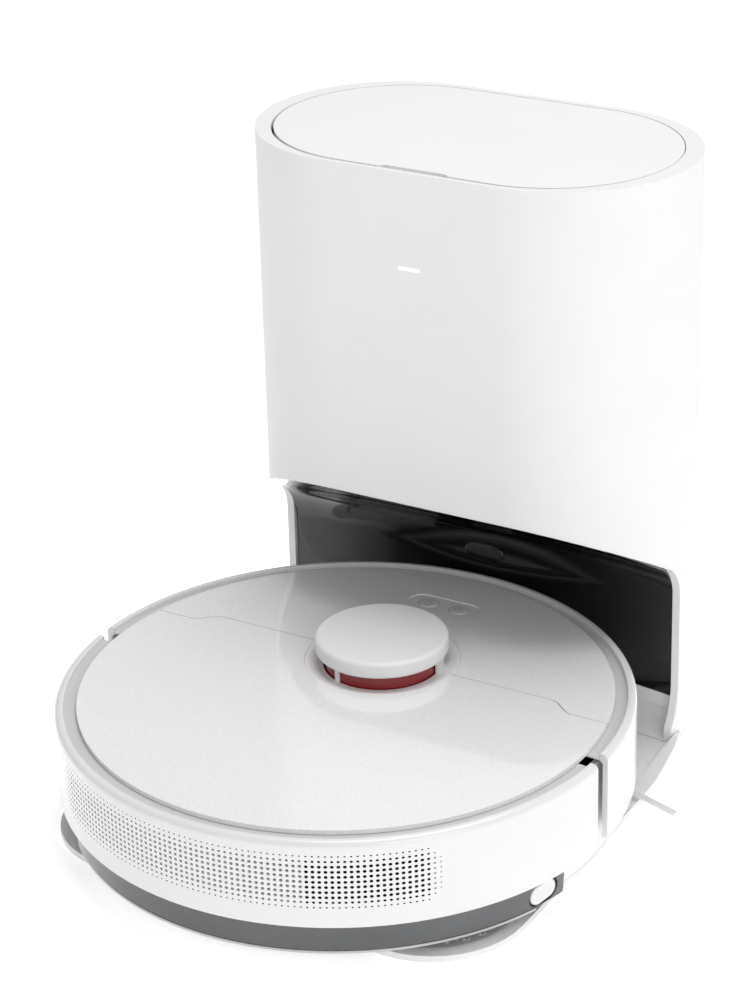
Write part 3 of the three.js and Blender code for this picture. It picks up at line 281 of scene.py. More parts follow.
@dataclass(frozen=True)
class Pile(Finish):
    """Short looped microfibre with a woven stripe along Y."""

    stripe: float = 9.0
    stripe_shade: str = "b9c3cc"

    def height(self, tree: bpy.types.NodeTree, where: bpy.types.NodeSocket) -> bpy.types.NodeSocket:
        """Return tufts about `grain` apart."""
        tufts = add_node(tree, "ShaderNodeTexVoronoi", {"Vector": where, "Scale": 1 / (self.grain * MM)})
        return tufts.outputs["Distance"]

    def tint(self, tree: bpy.types.NodeTree, where: bpy.types.NodeSocket) -> bpy.types.NodeSocket:
        """Return the ground colour with stripes `stripe` apart.

        Args:
            tree: The material's node tree.
            where: The vector that the pattern reads.

        Returns:
            The colour socket.
        """
        wave = add_node(
            tree,
            "ShaderNodeTexWave",
            {"Vector": where, "Scale": 0.314 / (self.stripe * MM), "Distortion": 1.5, "Detail Scale": 60.0},
            bands_direction="X",
        )
        band = add_node(tree, "ShaderNodeMapRange", {0: wave.outputs["Fac"], 1: 0.7, 2: 0.9})
        mixed = add_node(
            tree,
            "ShaderNodeMix",
            {0: band.outputs[0], 6: linear(self.colour), 7: linear(self.stripe_shade)},
            data_type="RGBA",
        )
        return mixed.outputs[2]


@dataclass(frozen=True)
class Etched(Finish):
    """A circuit board: solder mask over etched tracks, with bare pads."""

    pad: str = "c8a86a"

    def tint(self, tree: bpy.types.NodeTree, where: bpy.types.NodeSocket) -> bpy.types.NodeSocket:
        """Return tracks in squared cells and small pale pads.

        Args:
            tree: The material's node tree.
            where: The vector that the pattern reads.

        Returns:
            The colour socket.
        """
        tracks = add_node(
            tree, "ShaderNodeTexVoronoi", {"Vector": where, "Scale": 190.0}, distance="CHEBYCHEV",
            feature="DISTANCE_TO_EDGE"
        )
        cells = add_node(
            tree, "ShaderNodeTexVoronoi", {"Vector": where, "Scale": 260.0, "Randomness": 0.6},
            distance="CHEBYCHEV",
        )
        line = add_node(tree, "ShaderNodeMapRange", {0: tracks.outputs["Distance"], 1: 0.05, 2: 0.07})
        spot = add_node(
            tree, "ShaderNodeMapRange", {0: cells.outputs["Distance"], 1: 0.16, 2: 0.2, 3: 1.0, 4: 0.0}
        )
        mask = add_node(
            tree, "ShaderNodeMix", {0: line.outputs[0], 6: linear(self.shade), 7: linear(self.colour)},
            data_type="RGBA"
        )
        mixed = add_node(
            tree, "ShaderNodeMix", {0: spot.outputs[0], 6: mask.outputs[2], 7: linear(self.pad)},
            data_type="RGBA",
        )
        return mixed.outputs[2]


# Gloss ABS: bright, with soft long highlights and the faintest orange peel.
GLOSS_ABS = Finish(
    "gloss_white_abs", "ebebeb", "e6e6e6", 0.22, coat=0.35, coat_roughness=0.08, grain=2.6, relief=0.006
)
# The dock lid's ABS, polished and a shade whiter.
LID_ABS = Finish(
    "polished_white_abs", "fefefe", "fbfbfb", 0.2, coat=0.4, coat_roughness=0.05, grain=2.6, relief=0.004
)
# Satin ABS with a fine spark-eroded texture, so that highlights spread wide.
SATIN_ABS = Finish("satin_white_abs", "f1f1f1", "ececec", 0.42, grain=0.45, relief=0.012)
# In-mould decorated acrylic: clear gloss over pale flecks.
DECK_ACRYLIC = Flecked(
    "flecked_clear_acrylic", "f7f7f7", "e6e6e7", 0.16, coat=0.9, coat_roughness=0.02, ior=1.49, relief=0.003,
    grain=3.0,
)
# Satin ABS in the groove round the deck, a little greyer than the skin.
GROOVE_ABS = Finish("grey_satin_abs", "d2d3d4", "c8c9ca", 0.3, coat=0.3, grain=0.6, relief=0.01)
# Piano-black acrylic: almost a mirror where the light falls.
BLACK_ACRYLIC = Finish(
    "piano_black_acrylic", "09090a", "0d0d0e", 0.09, swing=0.02, coat=0.8, ior=1.49, grain=3.5, relief=0.004
)
# Charcoal glass-filled nylon for the working parts: dull and slightly mottled.
CHARCOAL_NYLON = Finish("charcoal_nylon", "232427", "2d2e31", 0.55, grain=0.5, relief=0.03, patch=18)
# Smoked polycarbonate: dark, clear and shiny, and cloudy where it is thick.
SMOKED_PC = Finish(
    "smoked_polycarbonate", "47494b", "5e6062", 0.13, swing=0.04, transmission=0.25, ior=1.58, coat=0.5,
    grain=4, relief=0.006,
)
# Tank walls frosted on the inside, lighter where the wall is thin.
LIP_PC = Finish(
    "frosted_polycarbonate", "dfe0e1", "d3d4d5", 0.3, transmission=0.2, ior=1.58, grain=0.8, relief=0.008
)
# Deep red filter polycarbonate over the laser.
RED_PC = Finish(
    "deep_red_polycarbonate", "8a0a12", "a01018", 0.1, transmission=0.1, ior=1.58, coat=0.6, grain=4,
    relief=0.004,
)
# Thermoplastic rubber of the wheel pads, moulded in fine ridges.
PAD_TPE = Ribbed("grey_moulded_tpe", "c3c4c5", "babbbc", 0.6, grain=1.4, relief=0.05)
# Pale thermoplastic ribs standing on the pads.
RIB_TPE = Finish("pale_moulded_tpe", "dcdddd", "d2d3d4", 0.5, grain=0.6, relief=0.02)
# Tyre and seal rubber: matt, with a dusty bloom.
BLACK_RUBBER = Finish("black_nitrile_rubber", "1a1a1b", "262627", 0.8, grain=0.7, relief=0.04, patch=14)
# Soft silicone for the roller's blades.
GREY_SILICONE = Finish("grey_silicone", "77797b", "6c6e70", 0.55, grain=0.8, relief=0.02, patch=20)
# Gold-plated brass contacts.
PLATED_BRASS = Brushed("plated_brass", "d8b56a", "c9a45a", 0.22, metallic=1.0, grain=0.3, relief=0.004)
# Brushed stainless steel.
STEEL = Brushed("brushed_stainless_steel", "b8babc", "a9abad", 0.3, metallic=1.0, grain=0.25, relief=0.006)
# Spun-bonded polyester of the bag and the filter.
BAG_CLOTH = Bonded("spunbonded_polyester", "e9e6de", "dfdbd1", 0.9, grain=0.3, relief=0.08)
# Microfibre of the mop pad.
MOP_CLOTH = Pile("looped_microfibre", "eef0f1", "e2e5e7", 0.95, grain=1.1, relief=0.5)
# Nylon filament of the side brush.
NYLON = Finish(
    "nylon_filament", "fbfbfa", "f4f4f2", 0.35, transmission=0.05, ior=1.53, grain=1.2, relief=0.01, patch=8
)
# Green solder mask over copper tracks.
SOLDER_MASK = Etched("green_solder_mask", "134a2a", "1c6a3c", 0.35, grain=0.8, relief=0.03, patch=12)
# Frosted light guide, lit from behind.
LIGHT_GUIDE = Finish("frosted_light_guide", "ffffff", "f7fbff", 0.4, glow=1.6, grain=0.5, relief=0.01)
# Printed grey ink of the button marks.
INK = Finish("grey_pad_ink", "b4b5b6", "acadae", 0.5, grain=0.3, relief=0.004, patch=6)
# Painted shade: a flat black that stands in for the unlit depth behind the open perforations.
HOLE_SHADE = Finish("painted_hole_shade", "050505", "090909", 0.9, grain=0.4, relief=0.02, patch=5)
# White backdrop paper.
PAPER_SWEEP = Finish("studio_paper", "fdfdfd", "fbfbfb", 0.9, glow=0.5, grain=2.0, relief=0.01, patch=300)


# ---------------------------------------------------------------------------------------
# Shapes, in millimetres
# ---------------------------------------------------------------------------------------
class Join(Enum):
    """How two solids go together."""

    ADD = "UNION"
    CUT = "DIFFERENCE"
    MEET = "INTERSECT"


def outline(
    points: Sequence[Point], rounds: dict[int, float] | None = None, steps: int = 10
) -> bmesh.types.BMesh:
    """Make a flat face from a few corners, some of them rounded.

    Args:
        points: Corners in the XY plane.
        rounds: Corner number to the distance from it at which its curve starts.
        steps: Segments in each rounded corner.

    Returns:
        A bmesh that holds the one face.
    """
    bm = bmesh.new()
    corners = [bm.verts.new((x, y, 0)) for x, y in points]
    bm.faces.new(corners)
    for index, reach in (rounds or {}).items():
        bmesh.ops.bevel(
            bm, geom=[corners[index]], offset=reach, segments=steps, profile=0.5, affect="VERTICES",
            material=-1
        )
    return bm


def raise_face(bm: bmesh.types.BMesh, low: float, high: float) -> bmesh.types.BMesh:
    """Extrude a flat face at z = 0 into a prism from `low` to `high`.

    Args:
        bm: The mesh, which is changed in place.
        low: Height of its underside.
        high: Height of its top.

    Returns:
        The same mesh, as a closed prism.
    """
    made = bmesh.ops.extrude_face_region(bm, geom=list(bm.faces))
    upper = [v for v in made["geom"] if isinstance(v, bmesh.types.BMVert)]
    bmesh.ops.translate(bm, verts=upper, vec=(0, 0, high - low))
    bmesh.ops.translate(bm, verts=bm.verts, vec=(0, 0, low))
    bmesh.ops.recalc_face_normals(bm, faces=bm.faces)
    return bm


def prism(
    points: Sequence[Point], low: float, high: float, rounds: dict[int, float] | None = None
) -> bmesh.types.BMesh:
    """Make an upright prism from corners in plan."""
    return raise_face(outline(points, rounds), low, high)


def side_prism(
    points: Sequence[Point], left: float, right: float, rounds: dict[int, float] | None = None
) -> bmesh.types.BMesh:
    """Make a prism from (y, z) corners seen from the side, from x = `left` to `right`.

    Args:
        points: The corners, in (y, z).
        left: X of its left face.
        right: X of its right face.
        rounds: How far each corner, by index, is rounded.

    Returns:
        The prism.
    """
    bm = raise_face(outline(points, rounds), left, right)
    bmesh.ops.transform(
        bm, matrix=Matrix(((0, 0, 1, 0), (1, 0, 0, 0), (0, 1, 0, 0), (0, 0, 0, 1))), verts=bm.verts
    )
    return bm


def block(x0: float, x1: float, y0: float, y1: float, z0: float, z1: float) -> bmesh.types.BMesh:
    """Make a box between two corners."""
    return prism([(x0, y0), (x1, y0), (x1, y1), (x0, y1)], z0, z1)


def stadium(
    width: float, depth: float, low: float, high: float, y: float = 0.0, steps: int = 128
) -> bmesh.types.BMesh:
    """Make a prism whose plan is two half circles joined by straight sides.

    Args:
        width: Its whole length in X.
        depth: Its depth in Y, and so twice its ends' radius.
        low: Height of its underside.
        high: Height of its top.
        y: Its middle in Y.
        steps: Sides of its two half circles together.

    Returns:
        The prism.
    """
    bm = bmesh.new()
    bmesh.ops.create_circle(bm, cap_ends=True, segments=steps, radius=depth / 2)
    bmesh.ops.rotate(bm, verts=bm.verts, matrix=Matrix.Rotation(math.pi / steps, 3, "Z"))
    for side in (-1, 1):
        half = [v for v in bm.verts if v.co.x * side > 0]
        bmesh.ops.translate(bm, verts=half, vec=(side * (width - depth) / 2, 0, 0))
    bmesh.ops.translate(bm, verts=bm.verts, vec=(0, y, 0))
    return raise_face(bm, low, high)


def turned(
    profile: Sequence[Point],
    x: float = 0.0,
    y: float = 0.0,
    start: float = 0.0,
    sweep: float = 360.0,
    steps: int = 128,
    rounds: dict[int, float] | None = None,
    curve: int = 5,
) -> bmesh.types.BMesh:
    """Turn a closed (radius, z) profile about an upright axis.

    Args:
        profile: Corners of the section.
        x: The axis.
        y: The axis.
        start: Angle in degrees from +X at which the sweep starts.
        sweep: Degrees turned through.
        steps: Segments in the sweep.
        rounds: Profile corners that are rounded, as for `outline`.
        curve: Segments in each of those.

    Returns:
        The turned solid.
    """
    bm = outline(profile, rounds, curve)
    bmesh.ops.rotate(bm, verts=bm.verts, matrix=Matrix.Rotation(math.pi / 2, 3, "X"))
    bmesh.ops.rotate(bm, verts=bm.verts, matrix=Matrix.Rotation(math.radians(start), 3, "Z"))
    whole = abs(sweep) >= 360
    if whole:
        bmesh.ops.delete(bm, geom=list(bm.faces), context="FACES_ONLY")
    bmesh.ops.spin(
        bm,
        geom=list(bm.verts) + list(bm.edges) + list(bm.faces),
        cent=(0, 0, 0),
        axis=(0, 0, 1),
        angle=math.radians(sweep),
        steps=steps,
        use_merge=whole,
        use_duplicate=False,
    )
    bmesh.ops.remove_doubles(bm, verts=bm.verts, dist=0.002)
    bmesh.ops.recalc_face_normals(bm, faces=bm.faces)
    bmesh.ops.translate(bm, verts=bm.verts, vec=(x, y, 0))
    return bm


def rolled(
    profile: Sequence[Point], y: float, z: float, steps: int = 64, rounds: dict[int, float] | None = None
) -> bmesh.types.BMesh:
    """Turn a closed (radius, x) profile about a line along X.

    Args:
        profile: The closed outline, in (radius, x).
        y: The axis's place in Y.
        z: The axis's height.
        steps: Sides of a full turn.
        rounds: How far each corner, by index, is rounded.

    Returns:
        The turned solid.
    """
    bm = turned(profile, steps=steps, rounds=rounds, curve=3)
    bmesh.ops.rotate(bm, verts=bm.verts, matrix=Matrix.Rotation(math.pi / 2, 3, "Y"))
    bmesh.ops.translate(bm, verts=bm.verts, vec=(0, y, z))
    return bm


def bare_object(bm: bmesh.types.BMesh) -> bpy.types.Object:
    """Put a bmesh into an object of its own, for a moment.

    Args:
        bm: The mesh, which is freed.

    Returns:
        The object, linked to the scene.
    """
    mesh = bpy.data.meshes.new("work")
    bm.to_mesh(mesh)
    bm.free()
    made = bpy.data.objects.new("work", mesh)
    bpy.context.scene.collection.objects.link(made)
    return made


def combine(first: bmesh.types.BMesh, *others: bmesh.types.BMesh, how: Join = Join.CUT) -> bmesh.types.BMesh:
    """Cut, join or meet solids in turn.

    Args:
        first: The solid that is kept.
        *others: The solids it is combined with.
        how: What is done with each.

    Returns:
        The solid that is left.
    """
    body = bare_object(first)
    tools = [bare_object(bm) for bm in others]
    for tool in tools:
        step = body.modifiers.new("step", "BOOLEAN")
        step.operation, step.solver, step.object = how.value, "EXACT", tool
    result = bmesh.new()
    result.from_object(body, bpy.context.evaluated_depsgraph_get())
    for used in (body, *tools):
        mesh = used.data
        bpy.data.objects.remove(used)
        bpy.data.meshes.remove(mesh)
    bmesh.ops.remove_doubles(result, verts=result.verts, dist=0.001)
    return result


def merge(target: bmesh.types.BMesh, *others: bmesh.types.BMesh) -> bmesh.types.BMesh:
    """Add loose shells to a bmesh without joining them."""
    for bm in others:
        mesh = bpy.data.meshes.new("part")
        bm.to_mesh(mesh)
        bm.free()
        target.from_mesh(mesh)
        bpy.data.meshes.remove(mesh)
    return target


def shifted(bm: bmesh.types.BMesh, x: float = 0.0, y: float = 0.0, z: float = 0.0) -> bmesh.types.BMesh:
    """Move a bmesh and return it."""
    bmesh.ops.translate(bm, verts=bm.verts, vec=(x, y, z))
    return bm


def spun(
    bm: bmesh.types.BMesh, degrees: float, axis: str = "Z", about: Sequence[float] = (0, 0, 0)
) -> bmesh.types.BMesh:
    """Turn a bmesh about an axis through a point and return it."""
    bmesh.ops.rotate(
        bm, verts=bm.verts, cent=Vector(about), matrix=Matrix.Rotation(math.radians(degrees), 3, axis)
    )
    return bm


def piece(
    name: str,
    bm: bmesh.types.BMesh,
    finishes: Finish | Sequence[Finish],
    body: str,
    stands_for: Iterable[str] = (),
    edge: float = 0.0,
    edge_steps: int = 2,
    fold: float = 34.0,
) -> bpy.types.Object:
    """Finish a bmesh as a shown piece that rides a body.

    Args:
        name: The piece's name.
        bm: Its shape in millimetres.
        finishes: Its material, or several by face index.
        body: The body it moves with.
        stands_for: The plain nodes it replaces.
        edge: Width of the rounding on its sharp edges.
        edge_steps: Segments in that rounding.
        fold: Angle in degrees above which an edge stays crisp.

    Returns:
        The object.
    """
    bmesh.ops.scale(bm, vec=(MM, MM, MM), verts=bm.verts)
    mesh = bpy.data.meshes.new(name)
    bm.to_mesh(mesh)
    bm.free()
    for finish in [finishes] if isinstance(finishes, Finish) else finishes:
        mesh.materials.append(finish.build())
    mesh.shade_smooth()
    if not edge:
        mesh.set_sharp_from_angle(angle=math.radians(fold))
    made = bpy.data.objects.new(name, mesh)
    bpy.context.scene.collection.objects.link(made)
    if edge:
        bevel = made.modifiers.new("edges", "BEVEL")
        bevel.width, bevel.segments, bevel.limit_method = edge * MM, edge_steps, "ANGLE"
        bevel.angle_limit, bevel.miter_outer = math.radians(fold), "MITER_ARC"
        made.modifiers.new("weights", "WEIGHTED_NORMAL")
    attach(made, body)
    if stands_for:
        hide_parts(*stands_for)
    LOG.info("%s rides %s", name, body)
    return made


# ---------------------------------------------------------------------------------------
# Places
# ---------------------------------------------------------------------------------------
def span(*nodes: str) -> tuple[Vector, Vector]:
    """Return the lowest and highest corners of some nodes, in millimetres.

    Args:
        nodes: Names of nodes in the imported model.

    Returns:
        The lowest corner and the highest corner.
    """
    lows, highs = zip(*(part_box(node) for node in nodes))
    low = Vector([min(v[i] for v in lows) for i in range(3)]) / MM
    high = Vector([max(v[i] for v in highs) for i in range(3)]) / MM
    return low, high


@dataclass(frozen=True)
class Places:
    """Where the dock and the robot stand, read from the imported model."""

    tower_low: Vector
    tower_high: Vector
    robot: Vector
    radius: float

    @classmethod
    def read(cls) -> "Places":
        """Measure the nodes that set everything else.

        Returns:
            The places.
        """
        tower_low, tower_high = span("tower_shell")
        low, high = span("bumper", "rear_shell")
        centre = Vector(((low.x + high.x) / 2, (low.y + high.y) / 2, low.z - 25))
        return cls(tower_low, tower_high, centre, (high.x - low.x) / 2)


@dataclass
class Tower:
    """The dock's upright body: shell, lid, recess and light."""

    width: float
    depth: float
    height: float
    foot: float
    wall: float = 5.0
    rim_side: float = 11.5
    rim_back: float = 5.5
    rim_front: float = 3.5
    rim_thick: float = 6.0
    lid_thick: float = 4.5
    scoop_width: float = 48.0
    scoop_depth: float = 5.0
    front_gap: float = 2.0
    slope_far: Point = (-130.0, 196.7)
    slope_edge: Point = (-5.0, 120.9)
    shoulder: float = 15.0
    liner_wall: float = 3.0
    liner_face: float = 6.0
    liner_foot: float = 31.3
    bow: float = 9.0
    light_z: float = 325.0
    light_width: float = 14.0
    light_height: float = 1.6
    toe_reach: float = 8.0
    toe_top: float = 13.0
    cove: float = 12.0
    panel_seam: float = 21.5

    def hole(self, shrink: float, low: float, high: float) -> bmesh.types.BMesh:
        """Return the lid's hole as a solid, drawn in by `shrink`."""
        depth = self.depth - self.rim_front - self.rim_back - 2 * shrink
        return stadium(
            self.width - 2 * self.rim_side - 2 * shrink, depth, low, high,
            (self.rim_front - self.rim_back) / 2,
        )

    def mouth(
        self, back: float = 0.0, lift: float = 0.0, reach: float = 200.0, foot: float = -10.0
    ) -> bmesh.types.BMesh:
        """Return the recess's mouth, moved back and up, as a solid across the tower.

        Args:
            back: How far it is moved back.
            lift: How far it is moved up.
            reach: Its half length in X.
            foot: Height of its underside.

        Returns:
            The solid to cut away.
        """
        fall = (self.slope_edge[1] - self.slope_far[1]) / (self.slope_edge[0] - self.slope_far[0])
        corner = (self.slope_edge[0] + back, self.slope_edge[1] + lift + fall * back)
        front = (self.slope_far[0], self.slope_far[1] + lift)
        return side_prism(
            [front, corner, (corner[0], foot), (front[0], foot)], -reach, reach,
            {1: self.shoulder + back * 0.5},
        )

    def shell(self) -> None:
        """Build the outer shell with its rim, mouth and light slot."""
        outer = stadium(self.width, self.depth, self.foot, self.height)
        inner = stadium(
            self.width - 2 * self.wall, self.depth - 2 * self.wall, 0, self.height - self.rim_thick
        )
        half, rise = self.light_width / 2, self.light_height / 2
        slot = block(
            -half, half, -self.depth / 2 - 1, -self.depth / 2 + self.wall + 1, self.light_z - rise,
            self.light_z + rise,
        )
        low, high = span("power_inlet")
        socket = block(
            low.x - 0.4, high.x + 0.4, self.depth / 2 - self.wall - 2, self.depth / 2 + 2, low.z - 0.4,
            high.z + 0.4,
        )
        lid_hole = self.hole(0, self.height - self.rim_thick - 1, self.height + 1)
        edge, toe = self.slope_edge[0], self.slope_edge[0] - self.toe_reach
        step = side_prism([(toe - 90, -10), (toe, -10), (toe, self.toe_top),
                           (edge, self.toe_top + 2 * self.toe_reach), (edge, 80),
                           (toe - 90, 80)], -200, 200, {2: 2.5, 3: 12})
        mouth = combine(self.mouth(foot=self.toe_top + 40), step, how=Join.ADD)
        made = combine(outer, inner, lid_hole, mouth, slot, socket)
        piece("tower_skin", made, SATIN_ABS, "dock", ["tower_shell"], edge=0.9, edge_steps=3)

    def lid(self) -> None:
        """Build the lid: a flat plate with softened edges and a scoop in front for a fingertip."""
        low, high = self.height - self.lid_thick, self.height - 0.1
        scoop = stadium(
            self.scoop_width, 2 * self.scoop_depth, low - 1, high + 1, self.rim_front + 0.6 - self.depth / 2,
            48,
        )
        plate = combine(
            self.hole(0.6, low, high), shifted(self.hole(0.6, low - 1, high + 1), y=self.front_gap),
            how=Join.MEET,
        )
        made = combine(plate, scoop)
        lugs = []
        for side in (-1, 1):
            x = side * (self.width / 2 - self.depth / 2 - 14)
            back = self.depth / 2 - self.rim_back - 0.6
            lugs.append(
                side_prism(
                    [(back - 12, low - 4.5), (back - 4, low - 4.5), (back - 4, low), (back - 12, low)], x - 7,
                    x + 7, {0: 3, 1: 3},
                )
            )
        piece(
            "dock_lid_plate", merge(made, *lugs), LID_ABS, "dock_lid", ["dock_lid"], edge=0.8,
            edge_steps=3,
        )

    def bowed(self, bm: bmesh.types.BMesh) -> bmesh.types.BMesh:
        """Slice a band across X and draw its ends forward, so that it is hollow in the middle.

        Args:
            bm: The band, which is changed in place.

        Returns:
            The same mesh.
        """
        reach = self.width / 2
        for i in range(-11, 12):
            geometry = list(bm.verts) + list(bm.edges) + list(bm.faces)
            bmesh.ops.bisect_plane(bm, geom=geometry, plane_co=(reach * i / 12, 0, 0), plane_no=(1, 0, 0))
        for vert in bm.verts:
            vert.co.y -= self.bow * min(abs(vert.co.x) / reach, 1.0) ** 3
        return bm

    def recess(self) -> None:
        """Build the black liner, the window in it and the pale panel under it."""
        fit = self.wall + 0.35
        room = stadium(self.width - 2 * fit, self.depth - 2 * fit, 0, self.height)
        back = self.liner_face - self.slope_edge[0]
        outer = self.mouth(back + self.liner_wall, 3 + self.liner_wall, foot=self.liner_foot)
        inner = self.mouth(back, 3, 210, foot=self.liner_foot - 5)
        liner = self.bowed(combine(combine(room, outer, how=Join.MEET), inner))
        piece("recess_lining", liner, BLACK_ACRYLIC, "dock", ["recess_liner"], edge=0.5)
        piece("recess_panel", self.panel(fit), SATIN_ABS, "dock", ["lower_panel"], fold=40)
        self.window()

    def panel(self, fit: float) -> bmesh.types.BMesh:
        """Return the pale panel under the liner: its foot curves out, and a fine seam crosses it.

        Args:
            fit: How far it stays inside the tower's outline.

        Returns:
            The panel.
        """
        room = stadium(self.width - 2 * fit, self.depth - 2 * fit, 0, self.height)
        face, back, seam = self.liner_face, self.liner_face + self.liner_wall, self.panel_seam
        low, high = span("intake_duct")
        foot, top = self.foot, self.liner_foot - 0.4
        profile = [(back, foot), (back, top), (face, top), (face, seam + 0.35), (face + 0.6, seam),
                   (face, seam - 0.35), (face, foot + 0.9),
                   (face - self.cove, foot + 0.9), (face - self.cove, foot)]
        sheet = side_prism(list(reversed(profile)), -self.width, self.width, {2: self.cove - 1})
        way = block(low.x - 0.3, high.x + 0.3, face - self.cove - 3, back + 3, 0, high.z + 0.3)
        return self.bowed(combine(combine(sheet, room, how=Join.MEET), way))

    def window(self) -> None:
        """Build the oval signal window in the liner."""
        face = self.liner_face
        low, high = span("ir_window")
        middle = (low + high) / 2
        oval = turned([(0, 0), (14, 0), (14, 2.6), (0, 2.6)], steps=48, rounds={2: 0.8})
        bmesh.ops.scale(oval, vec=(1, 0.5, 1), verts=oval.verts)
        spun(oval, 90, "X")
        piece(
            "signal_window", shifted(oval, middle.x, face + 1.4, middle.z), BLACK_ACRYLIC, "dock",
            ["ir_window"],
        )

    def light(self) -> None:
        """Build the status light's guide, flush with the shell."""
        half, rise, front = self.light_width / 2 - 0.3, self.light_height / 2 - 0.3, -self.depth / 2
        guide = block(-half, half, front, front + self.wall, self.light_z - rise, self.light_z + rise)
        piece("light_guide", guide, LIGHT_GUIDE, "dock", ["status_light"], edge=0.3)

    def build(self) -> None:
        """Build every part of the tower."""
        self.shell()
        self.lid()
        self.recess()
        self.light()


@dataclass
class Tray:
    """The dock's floor tray with its two lobes and wheel pads."""

    robot_y: float
    front: float
    half: float
    tower_width: float
    tower_depth: float
    slab: float = 4.0
    lobe: float = 58.0
    toe: Point = (141.0, 6.0)
    waist: Point = (149.0, -14.0)
    widest_y: float = -62.0
    notch_mouth: float = 75.0
    notch_back: float = 55.0
    notch_depth: float = 46.0
    flank: tuple[Point, ...] = ((-67.0, 3.0), (-15.0, 9.0), (-5.0, 9.0), (8.0, 3.0))

    def plan(self, inset: float = 0.0) -> tuple[list[Point], dict[int, float]]:
        """Return the tray's corners in plan and their rounding.

        Args:
            inset: How far the outline is drawn in.

        Returns:
            The corners, and each rounded corner's reach by index.
        """
        half, front = self.half - inset, self.front + inset
        right = [
            (self.toe[0] - inset, self.toe[1]), (self.waist[0] - inset, self.waist[1]), (half, self.widest_y),
            (half, front), (self.notch_mouth + inset, front),
            (self.notch_back, self.front + self.notch_depth),
        ]
        left = [(-x, y) for x, y in reversed(right)]
        reaches = [12, 24, self.lobe - inset, 18, 14]
        rounds = dict(enumerate(reaches + reaches[::-1], start=1))
        return right + left, rounds

    def base(self) -> None:
        """Build the floor, its raised flanks and the seats for pads and pins."""
        points, rounds = self.plan()
        floor = prism(points, 0, self.slab, rounds)
        under = stadium(self.tower_width, self.tower_depth, 0.02, self.slab - 0.02)
        points, rounds = self.plan(0.02)
        wall = prism(points, 0.5, 40, rounds)
        rise = side_prism(self.flank, -180, 180, {1: 3, 2: 4})
        flank = combine(rise, wall, how=Join.MEET)
        flank = combine(
            flank,
            stadium(self.tower_width + 0.6, self.tower_depth + 0.6, self.slab, 60),
            block(-self.tower_width / 2, self.tower_width / 2, -95, 60, self.slab, 60),
        )
        made = combine(floor, under, flank, how=Join.ADD)
        tools = [turned([(0, 1), (3.6, 1), (3.6, 8), (0, 8)], *self.pin(side), steps=24) for side in (-1, 1)]
        tools += [self.pad_plan(side, 8.0, self.slab - 1.5, self.slab + 1) for side in (-1, 1)]
        made = combine(made, *tools)
        piece("tray_floor", made, SATIN_ABS, "dock", ["dock_base"], edge=0.8, edge_steps=3)

    def pin(self, side: int) -> Point:
        """Return where a charging pin stands."""
        low, high = span("charge_pin_L" if side < 0 else "charge_pin_R")
        return (low.x + high.x) / 2, (low.y + high.y) / 2

    def pad_plan(self, side: int, inset: float, low: float, high: float) -> bmesh.types.BMesh:
        """Return a wheel pad's plan as a prism.

        Args:
            side: -1 for left, 1 for right.
            inset: How far the outline is drawn in.
            low: Height of its underside.
            high: Height of its top.

        Returns:
            The prism.
        """
        front, outer = self.front + inset, self.half - inset
        inner, back = self.half - self.lobe - 16 + inset, self.robot_y - 30 - inset
        points = [(side * inner, front), (side * outer, front), (side * outer, back), (side * inner, back)]
        if side < 0:
            points.reverse()
        index = points.index((side * outer, front))
        return prism(points, low, high, {index: self.lobe - inset})

    def pads(self) -> None:
        """Build each pad with slanting ribs that end in small studs."""
        for side, name in ((-1, "wheel_pad_L"), (1, "wheel_pad_R")):
            plate = self.pad_plan(side, 8.3, self.slab - 1.2, self.slab + 0.2)
            piece(f"{name}_mat", plate, PAD_TPE, "dock", [name], edge=0.3)
            ribs = bmesh.new()
            for i in range(9):
                x, y = 104 + i * 6.2, self.front + 8 + 11 + i * 2.1 + max(i - 5, 0) * 5
                rib = side_prism(
                    [(0, self.slab), (46, self.slab), (46, self.slab + 0.7), (0, self.slab + 0.7)], -0.7, 0.7
                )
                merge(ribs, shifted(spun(rib, side * 24), side * x, y))
            inside = self.pad_plan(side, 11.0, self.slab, self.slab + 2)
            ribs = combine(ribs, inside, how=Join.MEET)
            studs = bmesh.new()
            for i in range(7):
                angle = math.radians(-78 + i * 13)
                reach = self.lobe - 13
                x = self.half - self.lobe + reach * math.cos(angle)
                y = self.front + self.lobe + reach * math.sin(angle)
                merge(
                    studs,
                    turned([(0, 4), (1.3, 4), (1.3, 4.9), (0, 4.9)], side * x, y, steps=16, rounds={2: 0.5}),
                )
            piece(f"{name}_ribs", merge(ribs, studs), RIB_TPE, "dock")

    def build(self) -> None:
        """Build every part of the tray."""
        self.base()
        self.pads()


